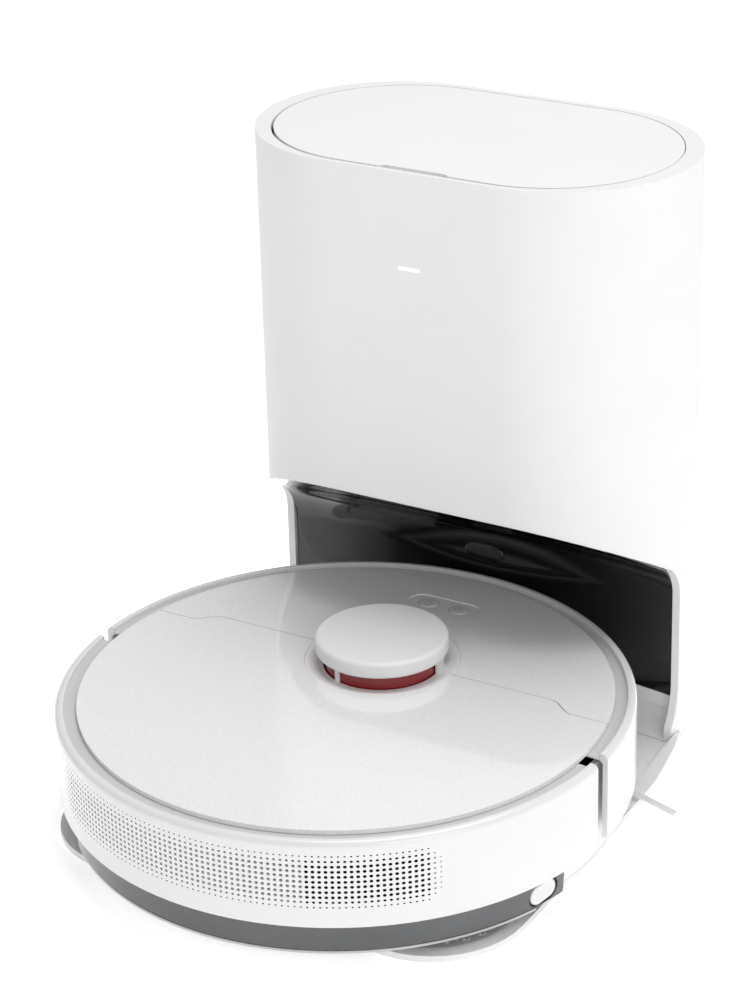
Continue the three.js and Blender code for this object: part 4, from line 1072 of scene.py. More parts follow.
@dataclass
class RobotSkin:
    """The robot's outer walls: bumper, rear shell and grille, with the grey groove round the deck."""

    centre: Vector
    radius: float
    skirt: float = 25.0
    top: float = 80.0
    skin: float = 3.5
    lip: float = 5.5
    slot_angle: float = 3.9
    rows: int = 11
    columns: int = 75
    grille_half: float = 44.0
    grille_turn: float = 4.5
    grille_low: float = 37.0
    grille_high: float = 73.0
    open_from: float = 18.0
    open_to: float = 42.0

    def seat(self, bm: bmesh.types.BMesh) -> bmesh.types.BMesh:
        """Move a shape from the robot's own frame into the world."""
        return shifted(bm, self.centre.x, self.centre.y, self.centre.z)

    def wall(self, start: float, sweep: float, inner: float) -> bmesh.types.BMesh:
        """Return a stretch of the outer wall, rolled over at its top.

        Args:
            start: Angle at which it starts, in degrees.
            sweep: How far it goes, in degrees.
            inner: Radius of its inner foot.

        Returns:
            The wall.
        """
        radius, top = self.radius, self.top
        profile = [
            (inner, self.skirt), (radius, self.skirt), (radius, top), (radius - self.lip, top),
            (radius - self.lip, top - 3.0), (radius - 15.0, top - 3.0), (radius - 15.0, top - 4.3),
            (radius - self.lip, top - 4.3),
            (radius - self.skin, top - 6.5), (radius - self.skin, self.skirt + 2), (inner, self.skirt + 2),
        ]
        made = turned(
            profile, start=start, sweep=sweep, steps=int(abs(sweep) / 1.5), rounds={1: 1.2, 2: 3.6, 3: 0.6},
            curve=6,
        )
        for face in made.faces:
            middle = face.calc_center_median()
            if math.hypot(middle.x, middle.y) < radius - self.lip - 0.1 and middle.z > top - 4.5:
                face.material_index = 1
        return made

    def bumper(self) -> None:
        """Build the sprung bumper round the front half."""
        made = self.wall(0.0, 180.0, self.radius - self.skin - 0.5)
        piece(
            "bumper_skin", self.seat(made), [GLOSS_ABS, GROOVE_ABS], "bumper", ["bumper"], edge=0.7,
            edge_steps=3, fold=50,
        )

    def rear(self) -> None:
        """Build the fixed shell round the rear half, open where the grille goes."""
        made = self.wall(180 + self.slot_angle, 180 - 2 * self.slot_angle, self.radius - 8.7)
        gap = turned(
            [(self.radius - 12, self.grille_low), (self.radius + 5, self.grille_low),
             (self.radius + 5, self.grille_high),
             (self.radius - 12, self.grille_high)],
            start=self.grille_turn - 90 - self.grille_half, sweep=2 * self.grille_half, steps=self.columns,
        )
        made = combine(made, gap)
        piece("rear_skin", self.seat(made), [GLOSS_ABS, GROOVE_ABS], "robot", ["rear_shell"])

    def hole_size(self, row: int, column: int) -> float:
        """Return a perforation's share of its full size, nought where there is none.

        Args:
            row: The hole's row, from 0.
            column: The hole's column, from 0.

        Returns:
            The share, from 0 to 1.
        """
        edge_row = min(row, self.rows - 1 - row)
        edge_column = min(column, self.columns - 1 - column)
        if edge_row + edge_column < 2:
            return 0.0
        return (0.5, 0.78, 1.0)[min(edge_row, 2)] * (0.45, 0.65, 0.85, 1.0)[min(edge_column, 3)]

    def grille(self) -> None:
        """Build the perforated panel: holes over the fan are sunk deeper and painted black as painted shade,
        blind elsewhere.
        """
        bm = bmesh.new()
        rise = (self.grille_high - self.grille_low) / self.rows
        column = [bm.verts.new((self.radius, 0, self.grille_low + i * rise)) for i in range(self.rows + 1)]
        for low, high in zip(column, column[1:]):
            bm.edges.new((low, high))
        spun(bm, self.grille_turn - 90 - self.grille_half)
        bmesh.ops.spin(
            bm, geom=list(bm.verts) + list(bm.edges), cent=(0, 0, 0), axis=(0, 0, 1),
            angle=math.radians(2 * self.grille_half), steps=self.columns, use_merge=False,
            use_duplicate=False,
        )
        bmesh.ops.recalc_face_normals(bm, faces=bm.faces)
        if sum(f.normal.dot(f.calc_center_median()) for f in bm.faces) < 0:
            bmesh.ops.reverse_faces(bm, faces=bm.faces)
        groups: dict[tuple[float, bool], list[bmesh.types.BMFace]] = {}
        for face in bm.faces:
            middle = face.calc_center_median()
            angle = math.degrees(math.atan2(middle.x, -middle.y)) - self.grille_turn
            number = round((angle + self.grille_half) / (2 * self.grille_half) * self.columns - 0.5)
            row = round((middle.z - self.grille_low) / rise - 0.5)
            size = self.hole_size(row, number)
            if size:
                groups.setdefault((round(size, 3), self.open_from < angle < self.open_to), []).append(face)
        for (size, is_open), faces in groups.items():
            self.pierce(bm, faces, rise, size, is_open)
        made = piece(
            "perforated_grille", self.seat(bm), [GLOSS_ABS, HOLE_SHADE], "robot", ["exhaust_grille"]
        )
        LOG.info("%s has %d faces", made.name, len(made.data.polygons))

    def pierce(
        self, bm: bmesh.types.BMesh, faces: list[bmesh.types.BMFace], pitch: float, size: float, is_open: bool
    ) -> None:
        """Sink one group of eight-sided holes.

        Args:
            bm: The panel.
            faces: The cells to pierce.
            pitch: A cell's width.
            size: Share of the full hole size.
            is_open: Whether the holes sink deeper and take the flat black of painted shade.
        """
        width = 1.75 * size
        bmesh.ops.inset_individual(bm, faces=faces, thickness=(pitch - width) / 2, use_even_offset=True)
        corners = list({v for face in faces for v in face.verts})
        bmesh.ops.bevel(
            bm, geom=corners, offset=width * 0.29, segments=1, profile=0.5, affect="VERTICES", material=-1
        )
        holes = [f for f in bm.faces if len(f.verts) == 8 and not f.tag]
        sides = bmesh.ops.inset_individual(bm, faces=holes, thickness=0.02, depth=-(1.2 if is_open else 0.6))
        for face in holes:
            face.tag = True
        # Open holes and their side walls take the painted shade; blind holes keep the skin's white.
        for face in holes + sides["faces"]:
            face.material_index = 1 if is_open else 0

    def build(self) -> None:
        """Build every part of the skin."""
        self.bumper()
        self.rear()
        self.grille()


@dataclass
class Deck:
    """The robot's top: the fixed deck, the flip-up lid, the button pad and the buttons."""

    centre: Vector
    radius: float
    top: float = 80.0
    thick: float = 2.8
    seam_inner: float = 44.0
    seam_outer: float = 33.5
    step_x: float = 119.0
    step_run: float = 12.0
    well: float = 48.1
    turret_y: float = 44.0
    pad_y: float = 122.0
    pad_width: float = 50.0
    pad_height: float = 19.0
    button_x: float = 11.0
    button_radius: float = 6.2

    def seat(self, bm: bmesh.types.BMesh) -> bmesh.types.BMesh:
        """Move a shape from the robot's own frame into the world."""
        return shifted(bm, self.centre.x, self.centre.y, self.centre.z)

    def lid_plan(self, ease: float, low: float, high: float) -> bmesh.types.BMesh:
        """Return the flip-up lid's side of the deck, grown by `ease`.

        Args:
            ease: How far it is grown.
            low: Height of its underside.
            high: Height of its top.

        Returns:
            The prism.
        """
        reach = self.radius + 20
        outer, inner, x = self.seam_outer + ease, self.seam_inner + ease, self.step_x + ease
        right = [(reach, -reach), (reach, outer), (x + self.step_run, outer), (x, inner)]
        left = [(-a, b) for a, b in reversed(right)]
        return prism(right + left, low, high, {2: 4, 3: 4, 4: 4, 5: 4})

    def disc(self, radius: float, low: float, high: float, y: float = 0.0) -> bmesh.types.BMesh:
        """Return an upright disc on the robot's middle line."""
        return turned([(0, low), (radius, low), (radius, high), (0, high)], y=y)

    def fixed(self) -> None:
        """Build the fixed part of the deck, with its sunk button pad."""
        low, high = self.top - self.thick, self.top
        plate = self.disc(self.radius, low, high)
        cuts = [self.lid_plan(0.5, low - 1, high + 1), self.disc(self.well, low - 1, high + 1, self.turret_y)]
        cuts.append(stadium(self.pad_width, self.pad_height, high - 0.5, high + 1, self.pad_y, 64))
        for side in (-1, 1):
            hole = turned([(0, 0), (self.button_radius + 0.3, 0), (self.button_radius + 0.3, 100), (0, 100)],
                          side * self.button_x, self.pad_y, steps=48)
            cuts.append(hole)
        piece(
            "fixed_deck", self.seat(combine(plate, *cuts)), DECK_ACRYLIC, "robot", ["robot_deck"],
            edge=0.5, edge_steps=3,
        )

    def lid(self) -> None:
        """Build the lid that flips up over the dust bin."""
        low, high = self.top - self.thick, self.top
        plate = combine(
            self.disc(self.radius - 0.3, low, high), self.lid_plan(0.0, low - 1, high + 1), how=Join.MEET
        )
        plate = combine(plate, self.disc(self.well, low - 1, high + 1, self.turret_y))
        lugs = [
            block(
                side * 100 - 6, side * 100 + 6, self.seam_inner - 12, self.seam_inner - 2, low - 4, low + 0.2
            )
            for side in (-1, 1)
        ]
        piece(
            "flip_lid", self.seat(merge(plate, *lugs)), DECK_ACRYLIC, "dust_lid", ["dust_lid"],
            edge=0.5, edge_steps=3,
        )

    def buttons(self) -> None:
        """Build the two buttons with a generic home mark and power mark."""
        y, high = self.pad_y, self.top - 0.2
        for side, body in ((-1, "button_home"), (1, "button_power")):
            x, radius = side * self.button_x, self.button_radius
            cap = turned(
                [(0, high - 4.3), (3, high - 4.3), (radius, high - 4.3), (radius, high), (0, high)], x, y,
                steps=64, rounds={3: 0.5},
            )
            stem = turned([(0, 64), (3, 64), (3, high - 4.4), (0, high - 4.4)], x, y, steps=24)
            piece(f"{body}_cap", self.seat(merge(cap, stem)), GLOSS_ABS, body, [body])
            if side < 0:
                mark = prism(
                    [(-2.4, -2.2), (2.4, -2.2), (2.4, 0.6), (0, 2.6), (-2.4, 0.6)], high, high + 0.06,
                    {2: 0.3, 3: 0.3, 4: 0.3},
                )
                mark = combine(
                    mark,
                    prism([(-1.7, -1.5), (1.7, -1.5), (1.7, 0.4), (0, 1.8), (-1.7, 0.4)], high - 1, high + 1),
                )
            else:
                mark = turned(
                    [(1.8, high), (2.4, high), (2.4, high + 0.06), (1.8, high + 0.06)], start=118, sweep=304,
                    steps=36,
                )
                merge(mark, block(-0.3, 0.3, 0.2, 2.9, high, high + 0.06))
            piece(f"{body}_mark", self.seat(shifted(mark, x, y)), INK, body)

    def build(self) -> None:
        """Build every part of the deck."""
        self.fixed()
        self.lid()
        self.buttons()


@dataclass
class Turret:
    """The laser turret: its well, window, posts and cap."""

    centre: Vector
    y: float = 44.0
    radius: float = 41.0
    well: float = 48.0
    top: float = 97.0
    foot: float = 87.0
    window: float = 35.6
    rotor: float = 30.0
    deck: float = 80.0

    def seat(self, bm: bmesh.types.BMesh) -> bmesh.types.BMesh:
        """Move a shape from the turret's own axis into the world."""
        return shifted(bm, self.centre.x, self.centre.y + self.y, self.centre.z)

    def cap(self) -> None:
        """Build the cap: a shallow drum with a softly rounded top and a lip underneath."""
        radius, foot, top = self.radius, self.foot, self.top
        profile = [(0, foot + 2.1), (36.4, foot + 2.1), (36.4, foot), (radius, foot), (radius, top), (0, top)]
        made = turned(profile, rounds={2: 0.6, 3: 1.2, 4: 2.6}, curve=6)
        piece("turret_cap_skin", self.seat(made), SATIN_ABS, "turret_cap", ["turret_cap"])

    def base(self) -> None:
        """Build the well, the red window and the posts that carry the cap."""
        well, deck = self.well, self.deck
        profile = [(0, 64), (well, 64), (well, deck - 0.15), (well - 2.2, deck - 0.3),
                   (self.window + 3.4, deck - 2.8),
                   (self.window + 1.0, deck - 2.8), (self.window + 1.0, 67), (0, 67)]
        piece(
            "turret_well", self.seat(turned(profile, rounds={2: 0.4, 3: 1.2, 4: 1.0})), SATIN_ABS, "robot",
            ["lidar_base"],
        )
        pane = [
            (self.window - 1.3, 67.2), (self.window, 67.2), (self.window, self.foot - 1.4),
            (self.window - 1.3, self.foot - 1.4),
        ]
        piece("laser_window", self.seat(turned(pane, rounds={2: 0.3})), RED_PC, "robot")
        posts = bmesh.new()
        for angle, width in ((252, 3.2), (12, 13.0), (132, 13.0)):
            merge(
                posts,
                spun(
                    block(
                        self.window + 0.1, self.window + 2.2, -width / 2, width / 2, deck - 3, self.foot - 1.4
                    ),
                    angle,
                ),
            )
        piece("turret_posts", self.seat(posts), SATIN_ABS, "robot", edge=0.5)

    def head(self) -> None:
        """Build the spinning head with its lens block."""
        top = self.foot - 1.9
        drum = turned([(0, 67.8), (self.rotor, 67.8), (self.rotor, top), (0, top)], rounds={2: 1.5})
        drum = combine(drum, block(-11, 11, -40, -self.rotor + 3, deck_low := 74.0, top - 2.5))
        piece(
            "laser_head", self.seat(drum), CHARCOAL_NYLON, "lidar_rotor", ["lidar_rotor"], edge=0.4
        )
        lenses = bmesh.new()
        for x in (-5, 5):
            lens = spun(turned([(0, 0), (3.2, 0), (3.2, 1.2), (0, 2.0)], steps=32, rounds={2: 0.4}), 90, "X")
            merge(lenses, shifted(lens, x, -self.rotor + 3.1, deck_low + 4.5))
        piece("laser_lenses", self.seat(lenses), BLACK_ACRYLIC, "lidar_rotor")

    def build(self) -> None:
        """Build every part of the turret."""
        self.cap()
        self.base()
        self.head()


@dataclass
class Tank:
    """The mop's water tank, its clips, plug and pad."""

    centre: Vector
    radius: float
    front: float = -52.6
    low: float = 5.0
    roof: float = 24.4
    clip_angle: float = 18.5
    clip_width: float = 20.0
    clip_height: float = 12.4
    clip_inset: float = 5.5
    clip_lean: float = 11.0
    clip_z: float = 15.0
    ear_x: float = 131.6
    ear_front: float = -37.6

    def seat(self, bm: bmesh.types.BMesh) -> bmesh.types.BMesh:
        """Move a shape from the robot's own frame into the world."""
        return shifted(bm, self.centre.x, self.centre.y, self.centre.z)

    def clip(self, side: int, grow: float, out: float, depth: float) -> bmesh.types.BMesh:
        """Return an oval block set in the tank's side, facing outwards.

        Args:
            side: -1 for left, 1 for right.
            grow: How far it is grown all round.
            out: How far it is moved outwards.
            depth: How deep it is.

        Returns:
            The block.
        """
        bm = stadium(self.clip_width + 2 * grow, self.clip_height + 2 * grow, 0, depth, steps=48)
        spun(bm, 90, "X")
        spun(bm, 90)
        spun(bm, self.clip_lean, "X")
        shifted(bm, self.radius - self.clip_inset - depth + out, 0, self.clip_z)
        return spun(bm, -self.clip_angle if side > 0 else 180 + self.clip_angle)

    def body(self) -> None:
        """Build the hollow tank with its filler."""
        radius, reach = self.radius, self.radius + 20
        profile = [(0, self.low), (radius - 8, self.low), (radius - 5.7, self.low + 2.5),
                   (radius - 4.7, self.roof),
                   (radius - 10, self.roof), (0, self.roof)]
        room = block(-reach, reach, -reach, self.front, 0, 60)
        for side in (-1, 1):
            near, far = sorted((side * self.ear_x, side * reach))
            room = combine(room, block(near, far, -reach, self.ear_front, 0.1, 59.9), how=Join.ADD)
        whole = combine(turned(profile, rounds={1: 1.2, 3: 0.8}), room, how=Join.MEET)
        inside = turned(
            [(0, self.low + 2), (radius - 30, self.low + 2), (radius - 30, self.roof - 2), (0, self.roof - 2)]
        )
        inside = combine(inside, block(-reach, reach, -reach, self.front - 3, 0, 60), how=Join.MEET)
        low, high = span("tank_plug")
        filler = turned([(0, self.low + 3), (9, self.low + 3), (9, 60), (0, 60)],
                        (low.x + high.x) / 2 - self.centre.x,
                        (low.y + high.y) / 2 - self.centre.y, steps=40)
        pockets = [self.clip(side, 1.4, 4, 18) for side in (-1, 1)]
        piece(
            "tank_body", self.seat(combine(whole, inside, filler, *pockets)), SMOKED_PC, "water_tank",
            ["water_tank"],
        )
        lip = turned([(radius - 18, self.low - 1.0), (radius - 6.8, self.low - 1.0),
                      (radius - 6.8, self.low + 0.7),
                      (radius - 18, self.low - 0.05)], start=200, sweep=140, steps=96, rounds={2: 0.3})
        piece("tank_lip", self.seat(lip), LIP_PC, "water_tank", edge=0.2)

    def clips(self) -> None:
        """Build each clip with a dark charcoal ring round it, set in the gap a little below the key's face.
        """
        for side, name in ((-1, "tank_clip_L"), (1, "tank_clip_R")):
            piece(
                f"{name}_key", self.seat(self.clip(side, 0, 0.1, 8)), GLOSS_ABS, name, [name],
                edge=1.1, edge_steps=4,
            )
            # A dark ring that fills the gap between the key and its pocket.
            ring = combine(self.clip(side, 1.2, -0.5, 5), self.clip(side, 0.35, 2, 20))
            piece(f"{name}_seal", self.seat(ring), CHARCOAL_NYLON, "water_tank", edge=0.3)

    def plug(self) -> None:
        """Build the filler's rubber plug with a finger bar."""
        low, high = span("tank_plug")
        x, y = (low.x + high.x) / 2, (low.y + high.y) / 2
        disc = turned(
            [(0, low.z), (8.5, low.z), (8.5, high.z - 0.6), (0, high.z - 0.6)], x, y, steps=48,
            rounds={2: 0.7},
        )
        bar = block(x - 5, x + 5, y - 1, y + 1, high.z - 0.8, high.z)
        piece(
            "filler_plug", merge(disc, bar), BLACK_RUBBER, "water_tank", ["tank_plug"],
            edge=0.3,
        )

    def pad(self) -> None:
        """Build the mop pad: a quilted half moon of looped cloth."""
        radius = self.radius - 24.5
        reach = self.radius + 20
        whole = turned(
            [(0, 2.4), (radius, 2.4), (radius, self.low - 1.0), (0, self.low - 1.0)], rounds={1: 1.0, 2: 1.0},
            curve=3,
        )
        made = combine(whole, block(-reach, reach, -reach, -66.5, 0, 20), how=Join.MEET)
        for i in range(-5, 6):
            geometry = list(made.verts) + list(made.edges) + list(made.faces)
            bmesh.ops.bisect_plane(made, geom=geometry, plane_co=(i * 24, 0, 0), plane_no=(1, 0, 0))
        seam = [
            v
            for v in made.verts if v.co.z < 3.4 and abs(
                v.co.x / 24 - round(v.co.x / 24)
            ) < 0.01 and abs(v.co.x) < 125
        ]
        bmesh.ops.translate(made, verts=seam, vec=(0, 0, 0.35))
        pad = piece("mop_cloth", self.seat(made), MOP_CLOTH, "water_tank", ["mop_pad"], edge=0.6)

    def build(self) -> None:
        """Build every part of the tank."""
        self.body()
        self.clips()
        self.plug()
        self.pad()


@dataclass
class Brushes:
    """The side brush with its bristles and the main roller."""

    centre: Vector
    hub_x: float = 112.0
    hub_y: float = 96.0
    reach: float = 74.5
    first: float = -13.5
    droop: float = 4.5
    bristles: int = 26
    roller_y: float = 52.0
    roller_radius: float = 19.5
    roller_half: float = 84.0

    def seat(self, bm: bmesh.types.BMesh) -> bmesh.types.BMesh:
        """Move a shape from the robot's own frame into the world."""
        return shifted(bm, self.centre.x, self.centre.y, self.centre.z)

    def side(self) -> None:
        """Build the hub, the three arms and their bundles of bristles."""
        hub = turned(
            [(0, 3), (12, 3), (12, 6.3), (4, 6.3), (4, 12), (0, 12)], steps=64, rounds={1: 1.5, 2: 0.8}
        )
        for i in range(3):
            arm = side_prism([(8, 3.6), (27, 3.6), (27, 5.8), (8, 5.8)], -3, 3)
            bmesh.ops.bevel(arm, geom=[e for e in arm.edges if abs(e.verts[0].co.z - e.verts[1].co.z) > 1],
                            offset=1.4, segments=3,
                            profile=0.5, affect="EDGES", material=-1)
            merge(hub, spun(arm, self.first - 90 + i * 120))
        piece(
            "side_brush_hub", self.seat(shifted(hub, self.hub_x, self.hub_y)), SATIN_ABS, "side_brush",
            ["side_brush"], edge=0.3,
        )
        tufts = bmesh.new()
        for i in range(3 * self.bristles):
            number = i % self.bristles
            across, layer = (number % 9 - 4) * 0.42, (number // 9 - 1) * 0.42
            length = self.reach - 24 - 0.6 * ((number * 7) % 5)
            hair = bmesh.new()
            bmesh.ops.create_cone(hair, cap_ends=True, segments=5, radius1=0.21, radius2=0.17, depth=length)
            spun(shifted(hair, z=24 + length / 2), 90, "Y")
            spun(hair, across * 0.55)
            spun(hair, layer * 0.4 + self.droop, "Y", (20, 0, 0))
            shifted(hair, 0, across, 5.4 + layer)
            merge(tufts, spun(hair, self.first + 120 * (i // self.bristles)))
        piece(
            "side_brush_bristles", self.seat(shifted(tufts, self.hub_x, self.hub_y)), NYLON, "side_brush",
        )

    def roller(self) -> None:
        """Build the roller with chevron blades of silicone."""
        z, half, radius = self.roller_radius + 1, self.roller_half, self.roller_radius
        core = rolled(
            [(0, -half), (6, -half), (10, -half + 3), (10, half - 3), (6, half), (0, half)], self.roller_y, z,
            40,
        )
        piece("roller_core", self.seat(core), CHARCOAL_NYLON, "main_brush", ["main_brush"])
        blades = bmesh.new()
        for i in range(6):
            blade = block(-half + 4, half - 4, -1.1, 1.1, 8.5, radius)
            for cut in range(-9, 10):
                geometry = list(blade.verts) + list(blade.edges) + list(blade.faces)
                bmesh.ops.bisect_plane(
                    blade, geom=geometry, plane_co=(half * cut / 10, 0, 0), plane_no=(1, 0, 0)
                )
            for vert in blade.verts:
                turn = math.radians(26 * (1 - abs(vert.co.x) / half))
                vert.co = Matrix.Rotation(turn, 3, "X") @ vert.co
            merge(blades, shifted(spun(blade, i * 60, "X"), 0, self.roller_y, z))
        piece("roller_blades", self.seat(blades), GREY_SILICONE, "main_brush")

    def build(self) -> None:
        """Build both brushes."""
        self.side()
        self.roller()


@dataclass
class Wheels:
    """The drive wheels with treaded tyres, and the caster."""

    centre: Vector
    radius: float = 33.0
    width: float = 22.0
    axle_x: float = 112.0
    treads: int = 30
    caster_y: float = 134.0
    caster_radius: float = 14.0

    def seat(self, bm: bmesh.types.BMesh) -> bmesh.types.BMesh:
        """Move a shape from the robot's own frame into the world."""
        return shifted(bm, self.centre.x, self.centre.y, self.centre.z)

    def drive(self) -> None:
        """Build both drive wheels."""
        for side, mark in ((-1, "L"), (1, "R")):
            x, radius, half = side * self.axle_x, self.radius, self.width / 2
            band = rolled([(radius - 5.7, -half), (radius - 1.6, -half), (radius - 1.6, half),
                          (radius - 5.7, half)], 0, radius,
                          rounds={1: 1.0, 2: 1.0})
            for i in range(self.treads):
                for row in (-1, 1):
                    bar = block(-half + 0.6, -0.4, -1.5, 1.5, radius - 2.0, radius - 0.05)
                    spun(shifted(bar, 0 if row < 0 else half - 0.2), row * 14, about=(row * half / 2, 0, 0))
                    merge(
                        band, shifted(spun(bar, (i + (row > 0) * 0.5) * 360 / self.treads, "X"), 0, 0, radius)
                    )
            piece(
                f"tyre_{mark}_tread", self.seat(shifted(band, x)), BLACK_RUBBER, f"wheel_{mark}",
                [f"tyre_{mark}"],
            )
            rim = radius - 6.2
            disc = rolled([(0, -half), (rim, -half), (rim, half), (rim - 2, half), (rim - 3, half - 4),
                           (9, half - 4), (8, half - 1),
                           (0, half - 1)], 0, radius, rounds={1: 0.6, 2: 0.6})
            if side < 0:
                spun(disc, 180, about=(0, 0, radius))
            hubs = [turned([(3.2, -2), (5.2, -2), (5.2, 2), (3.2, 2)], 15, 0, steps=20) for _ in range(5)]
            for i, boss in enumerate(hubs):
                spun(boss, i * 72)
                spun(boss, 90, "Y")
                merge(disc, shifted(boss, side * (half - 3), 0, radius))
            piece(
                f"wheel_{mark}_disc", self.seat(shifted(disc, x)), CHARCOAL_NYLON, f"wheel_{mark}",
                [f"wheel_{mark}"],
            )

    def caster(self) -> None:
        """Build the caster's small pale wheel with a groove round its middle."""
        r, y = self.caster_radius, self.caster_y
        tread = rolled(
            [(0, -6), (r - 1.5, -6), (r, -3.5), (r, 3.5), (r - 1.5, 6), (0, 6)], y, r, 56,
            rounds={2: 1.0, 3: 1.0},
        )
        groove = rolled([(r - 0.9, -0.6), (r + 1, -0.6), (r + 1, 0.6), (r - 0.9, 0.6)], y, r, 56)
        piece(
            "caster_roller", self.seat(combine(tread, groove)), SATIN_ABS, "caster_wheel",
            ["caster_wheel"],
        )

    def build(self) -> None:
        """Build every wheel."""
        self.drive()
        self.caster()


@dataclass
class DustBag:
    """The disposable bag: a filled cloth bag that swells out at its sides."""

    crown: float = 3.5

    def build(self) -> None:
        """Build the bag, full and gently creased."""
        low, high = span("dust_bag")
        bm = bmesh.new()
        bmesh.ops.create_cube(bm, size=1.0)
        bmesh.ops.subdivide_edges(bm, edges=bm.edges, cuts=15, use_grid_fill=True)
        inset = self.crown + 1.0
        size = (high - low) - Vector((2 * inset, 2 * inset, 2 * inset))
        middle = (low + high) / 2
        bmesh.ops.scale(bm, vec=size, verts=bm.verts)
        for vert in bm.verts:
            share = Vector((2 * vert.co.x / size.x, 2 * vert.co.y / size.y, 2 * vert.co.z / size.z))
            round_off = max(abs(share.x) + abs(share.y) - 1, 0) ** 2 * 0.16 + max(
                abs(share.x) + abs(share.z) - 1, 0
            ) ** 2 * 0.06
            vert.co.x *= 1 - round_off
            vert.co.y *= 1 - round_off
            swell = self.crown * math.cos(share.z * 1.4) * (
                1 + 0.35 * math.sin(vert.co.x * 0.19) * math.cos(vert.co.z * 0.11)
            )
            vert.co.x += swell * share.x * (1 - abs(share.y) ** 4)
            vert.co.y += swell * share.y * (1 - abs(share.x) ** 4)
        bmesh.ops.smooth_vert(
            bm, verts=bm.verts, factor=0.5, use_axis_x=True, use_axis_y=True, use_axis_z=True
        )
        shifted(bm, middle.x, middle.y, middle.z)
        bag = piece("filled_bag", bm, BAG_CLOTH, "dust_bag", ["dust_bag"], fold=70)
        softened = bag.modifiers.new("soft", "SUBSURF")
        softened.levels = softened.render_levels = 1


@dataclass(frozen=True)
class Dressing:
    """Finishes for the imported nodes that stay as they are."""

    finishes: tuple[tuple[Finish, tuple[str, ...]], ...] = (
        (CHARCOAL_NYLON, ("intake_duct", "dust_duct", "dock_fan_housing", "power_inlet", "battery",
                          "fan_housing", "fan_impeller",
                          "brush_housing", "side_brush_motor", "caster_fork", "wheel_arm_L", "wheel_arm_R")),
        (BLACK_RUBBER, ("intake_seal",)),
        (SATIN_ABS, ("bag_chamber", "bag_collar", "robot_chassis", "chassis_wall")),
        (STEEL, ("dock_impeller",)),
        (SOLDER_MASK, ("control_board", "main_board")),
        (PLATED_BRASS, ("charge_pin_L", "charge_pin_R", "robot_contact_L", "robot_contact_R")),
        (SMOKED_PC, ("dust_bin",)),
        (BAG_CLOTH, ("bin_filter",)),
        (BLACK_ACRYLIC, ("cliff_sensor_L", "cliff_sensor_R")),
    )

    def dress(self) -> None:
        """Give each node its material."""
        for finish, names in self.finishes:
            for name in names:
                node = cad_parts[name]
                node.data.materials.clear()
                node.data.materials.append(finish.build())
                LOG.info("%s dressed in %s", name, finish.name)


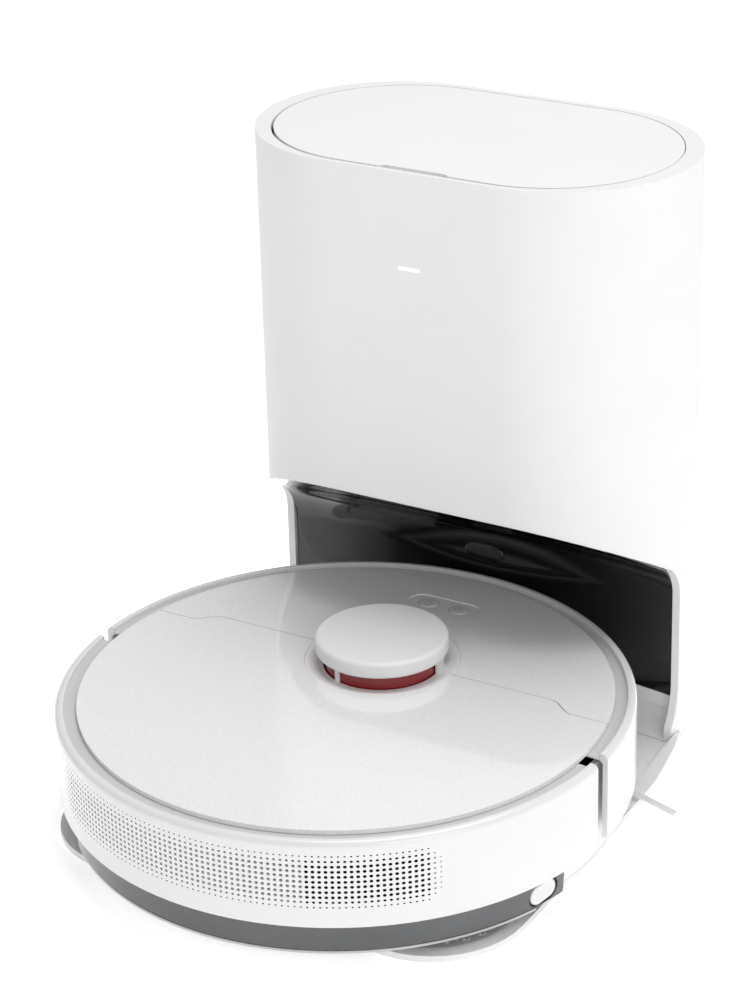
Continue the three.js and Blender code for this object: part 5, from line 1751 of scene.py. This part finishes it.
@dataclass
class Studio:
    """The camera, the floor and the lights. Lengths are in millimetres, angles in degrees."""

    azimuth: float = 29.579
    elevation: float = 22.99
    roll: float = -1.039
    distance: float = 1767.89
    lens: float = 101.8
    aim: tuple[float, float, float] = (0.0, -60.0, 150.0)
    slide_right: float = -4.254
    slide_up: float = 74.741
    shift: Point = (-0.060, -0.100)

    def camera(self) -> None:
        """Stand the camera in front, to the right and above."""
        a, e, r = (math.radians(v) for v in (self.azimuth, self.elevation, self.roll))
        back = Vector((math.sin(a) * math.cos(e), -math.cos(a) * math.cos(e), math.sin(e)))
        right = Vector((math.cos(a), math.sin(a), 0))
        up = back.cross(right)
        target = Vector(self.aim) + right * self.slide_right + up * self.slide_up
        level_right = right * math.cos(r) + up * math.sin(r)
        level_up = up * math.cos(r) - right * math.sin(r)
        data = bpy.data.cameras.new("camera")
        data.lens, data.sensor_width = self.lens, 36.0
        data.shift_x, data.shift_y = self.shift
        data.clip_end = 50
        camera = bpy.data.objects.new("camera", data)
        turn = Matrix((level_right, level_up, back)).transposed().to_4x4()
        camera.matrix_world = Matrix.Translation((target + back * self.distance) * MM) @ turn
        bpy.context.scene.collection.objects.link(camera)
        bpy.context.scene.camera = camera

    def lamp(
        self, name: str, place: Sequence[float], aim: Sequence[float], size: Point, watts: float
    ) -> None:
        """Hang a soft rectangular light that faces a point.

        Args:
            name: The light's name.
            place: Where it hangs, in metres.
            aim: What it faces, in metres.
            size: Its two sides, in metres.
            watts: Its power.
        """
        data = bpy.data.lights.new(name, "AREA")
        data.shape, data.size, data.size_y, data.energy = "RECTANGLE", size[0], size[1], watts
        light = bpy.data.objects.new(name, data)
        direction = Vector(aim) - Vector(place)
        light.matrix_world = Matrix.Translation(place) @ direction.to_track_quat(
            "-Z", "Y"
        ).to_matrix().to_4x4()
        bpy.context.scene.collection.objects.link(light)

    def lights(self) -> None:
        """Hang the soft lights and set the pale surroundings."""
        middle = (0.0, -0.1, 0.15)
        self.lamp("key", (1.9, -1.4, 1.1), middle, (1.2, 1.4), 13)
        self.lamp("side", (-2.0, -0.6, 0.9), middle, (0.9, 1.4), 0.5)
        self.lamp("top", (0.2, 0.2, 2.2), middle, (1.8, 1.4), 28)
        world = bpy.data.worlds.new("surroundings")
        world.use_nodes = True
        world.node_tree.nodes["Background"].inputs["Color"].default_value = linear("ffffff")
        world.node_tree.nodes["Background"].inputs["Strength"].default_value = 0.4
        bpy.context.scene.world = world
        bpy.context.scene.view_settings.view_transform = "Standard"

    def floor(self) -> None:
        """Lay the plain pale floor."""
        bm = bmesh.new()
        bmesh.ops.create_grid(bm, x_segments=8, y_segments=8, size=30.0)
        mesh = bpy.data.meshes.new("floor")
        bm.to_mesh(mesh)
        bm.free()
        mesh.materials.append(PAPER_SWEEP.build())
        floor = bpy.data.objects.new("floor", mesh)
        bpy.context.scene.collection.objects.link(floor)

    def build(self) -> None:
        """Set up the whole studio."""
        self.camera()
        self.lights()
        self.floor()


def corners(box: object) -> list[list[float]]:
    return [[float(value) for value in corner] for corner in box]


def main() -> None:
    """Build the studio and every piece."""
    logging.basicConfig(level=logging.INFO, format="%(message)s")
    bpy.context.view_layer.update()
    places = Places.read()
    robot, radius = places.robot, places.radius
    tray_low, tray_high = span("dock_base")
    Studio().build()
    width, depth = places.tower_high.x - places.tower_low.x, places.tower_high.y - places.tower_low.y
    Tower(width, depth, places.tower_high.z, places.tower_low.z).build()
    Tray(robot.y, tray_low.y, tray_high.x, width, depth).build()
    RobotSkin(robot, radius).build()
    Deck(robot, radius - 13.0).build()
    Turret(robot).build()
    Tank(robot, radius).build()
    Brushes(robot).build()
    Wheels(robot).build()
    DustBag().build()
    Dressing().dress()


if __name__ == "__main__":
    main()
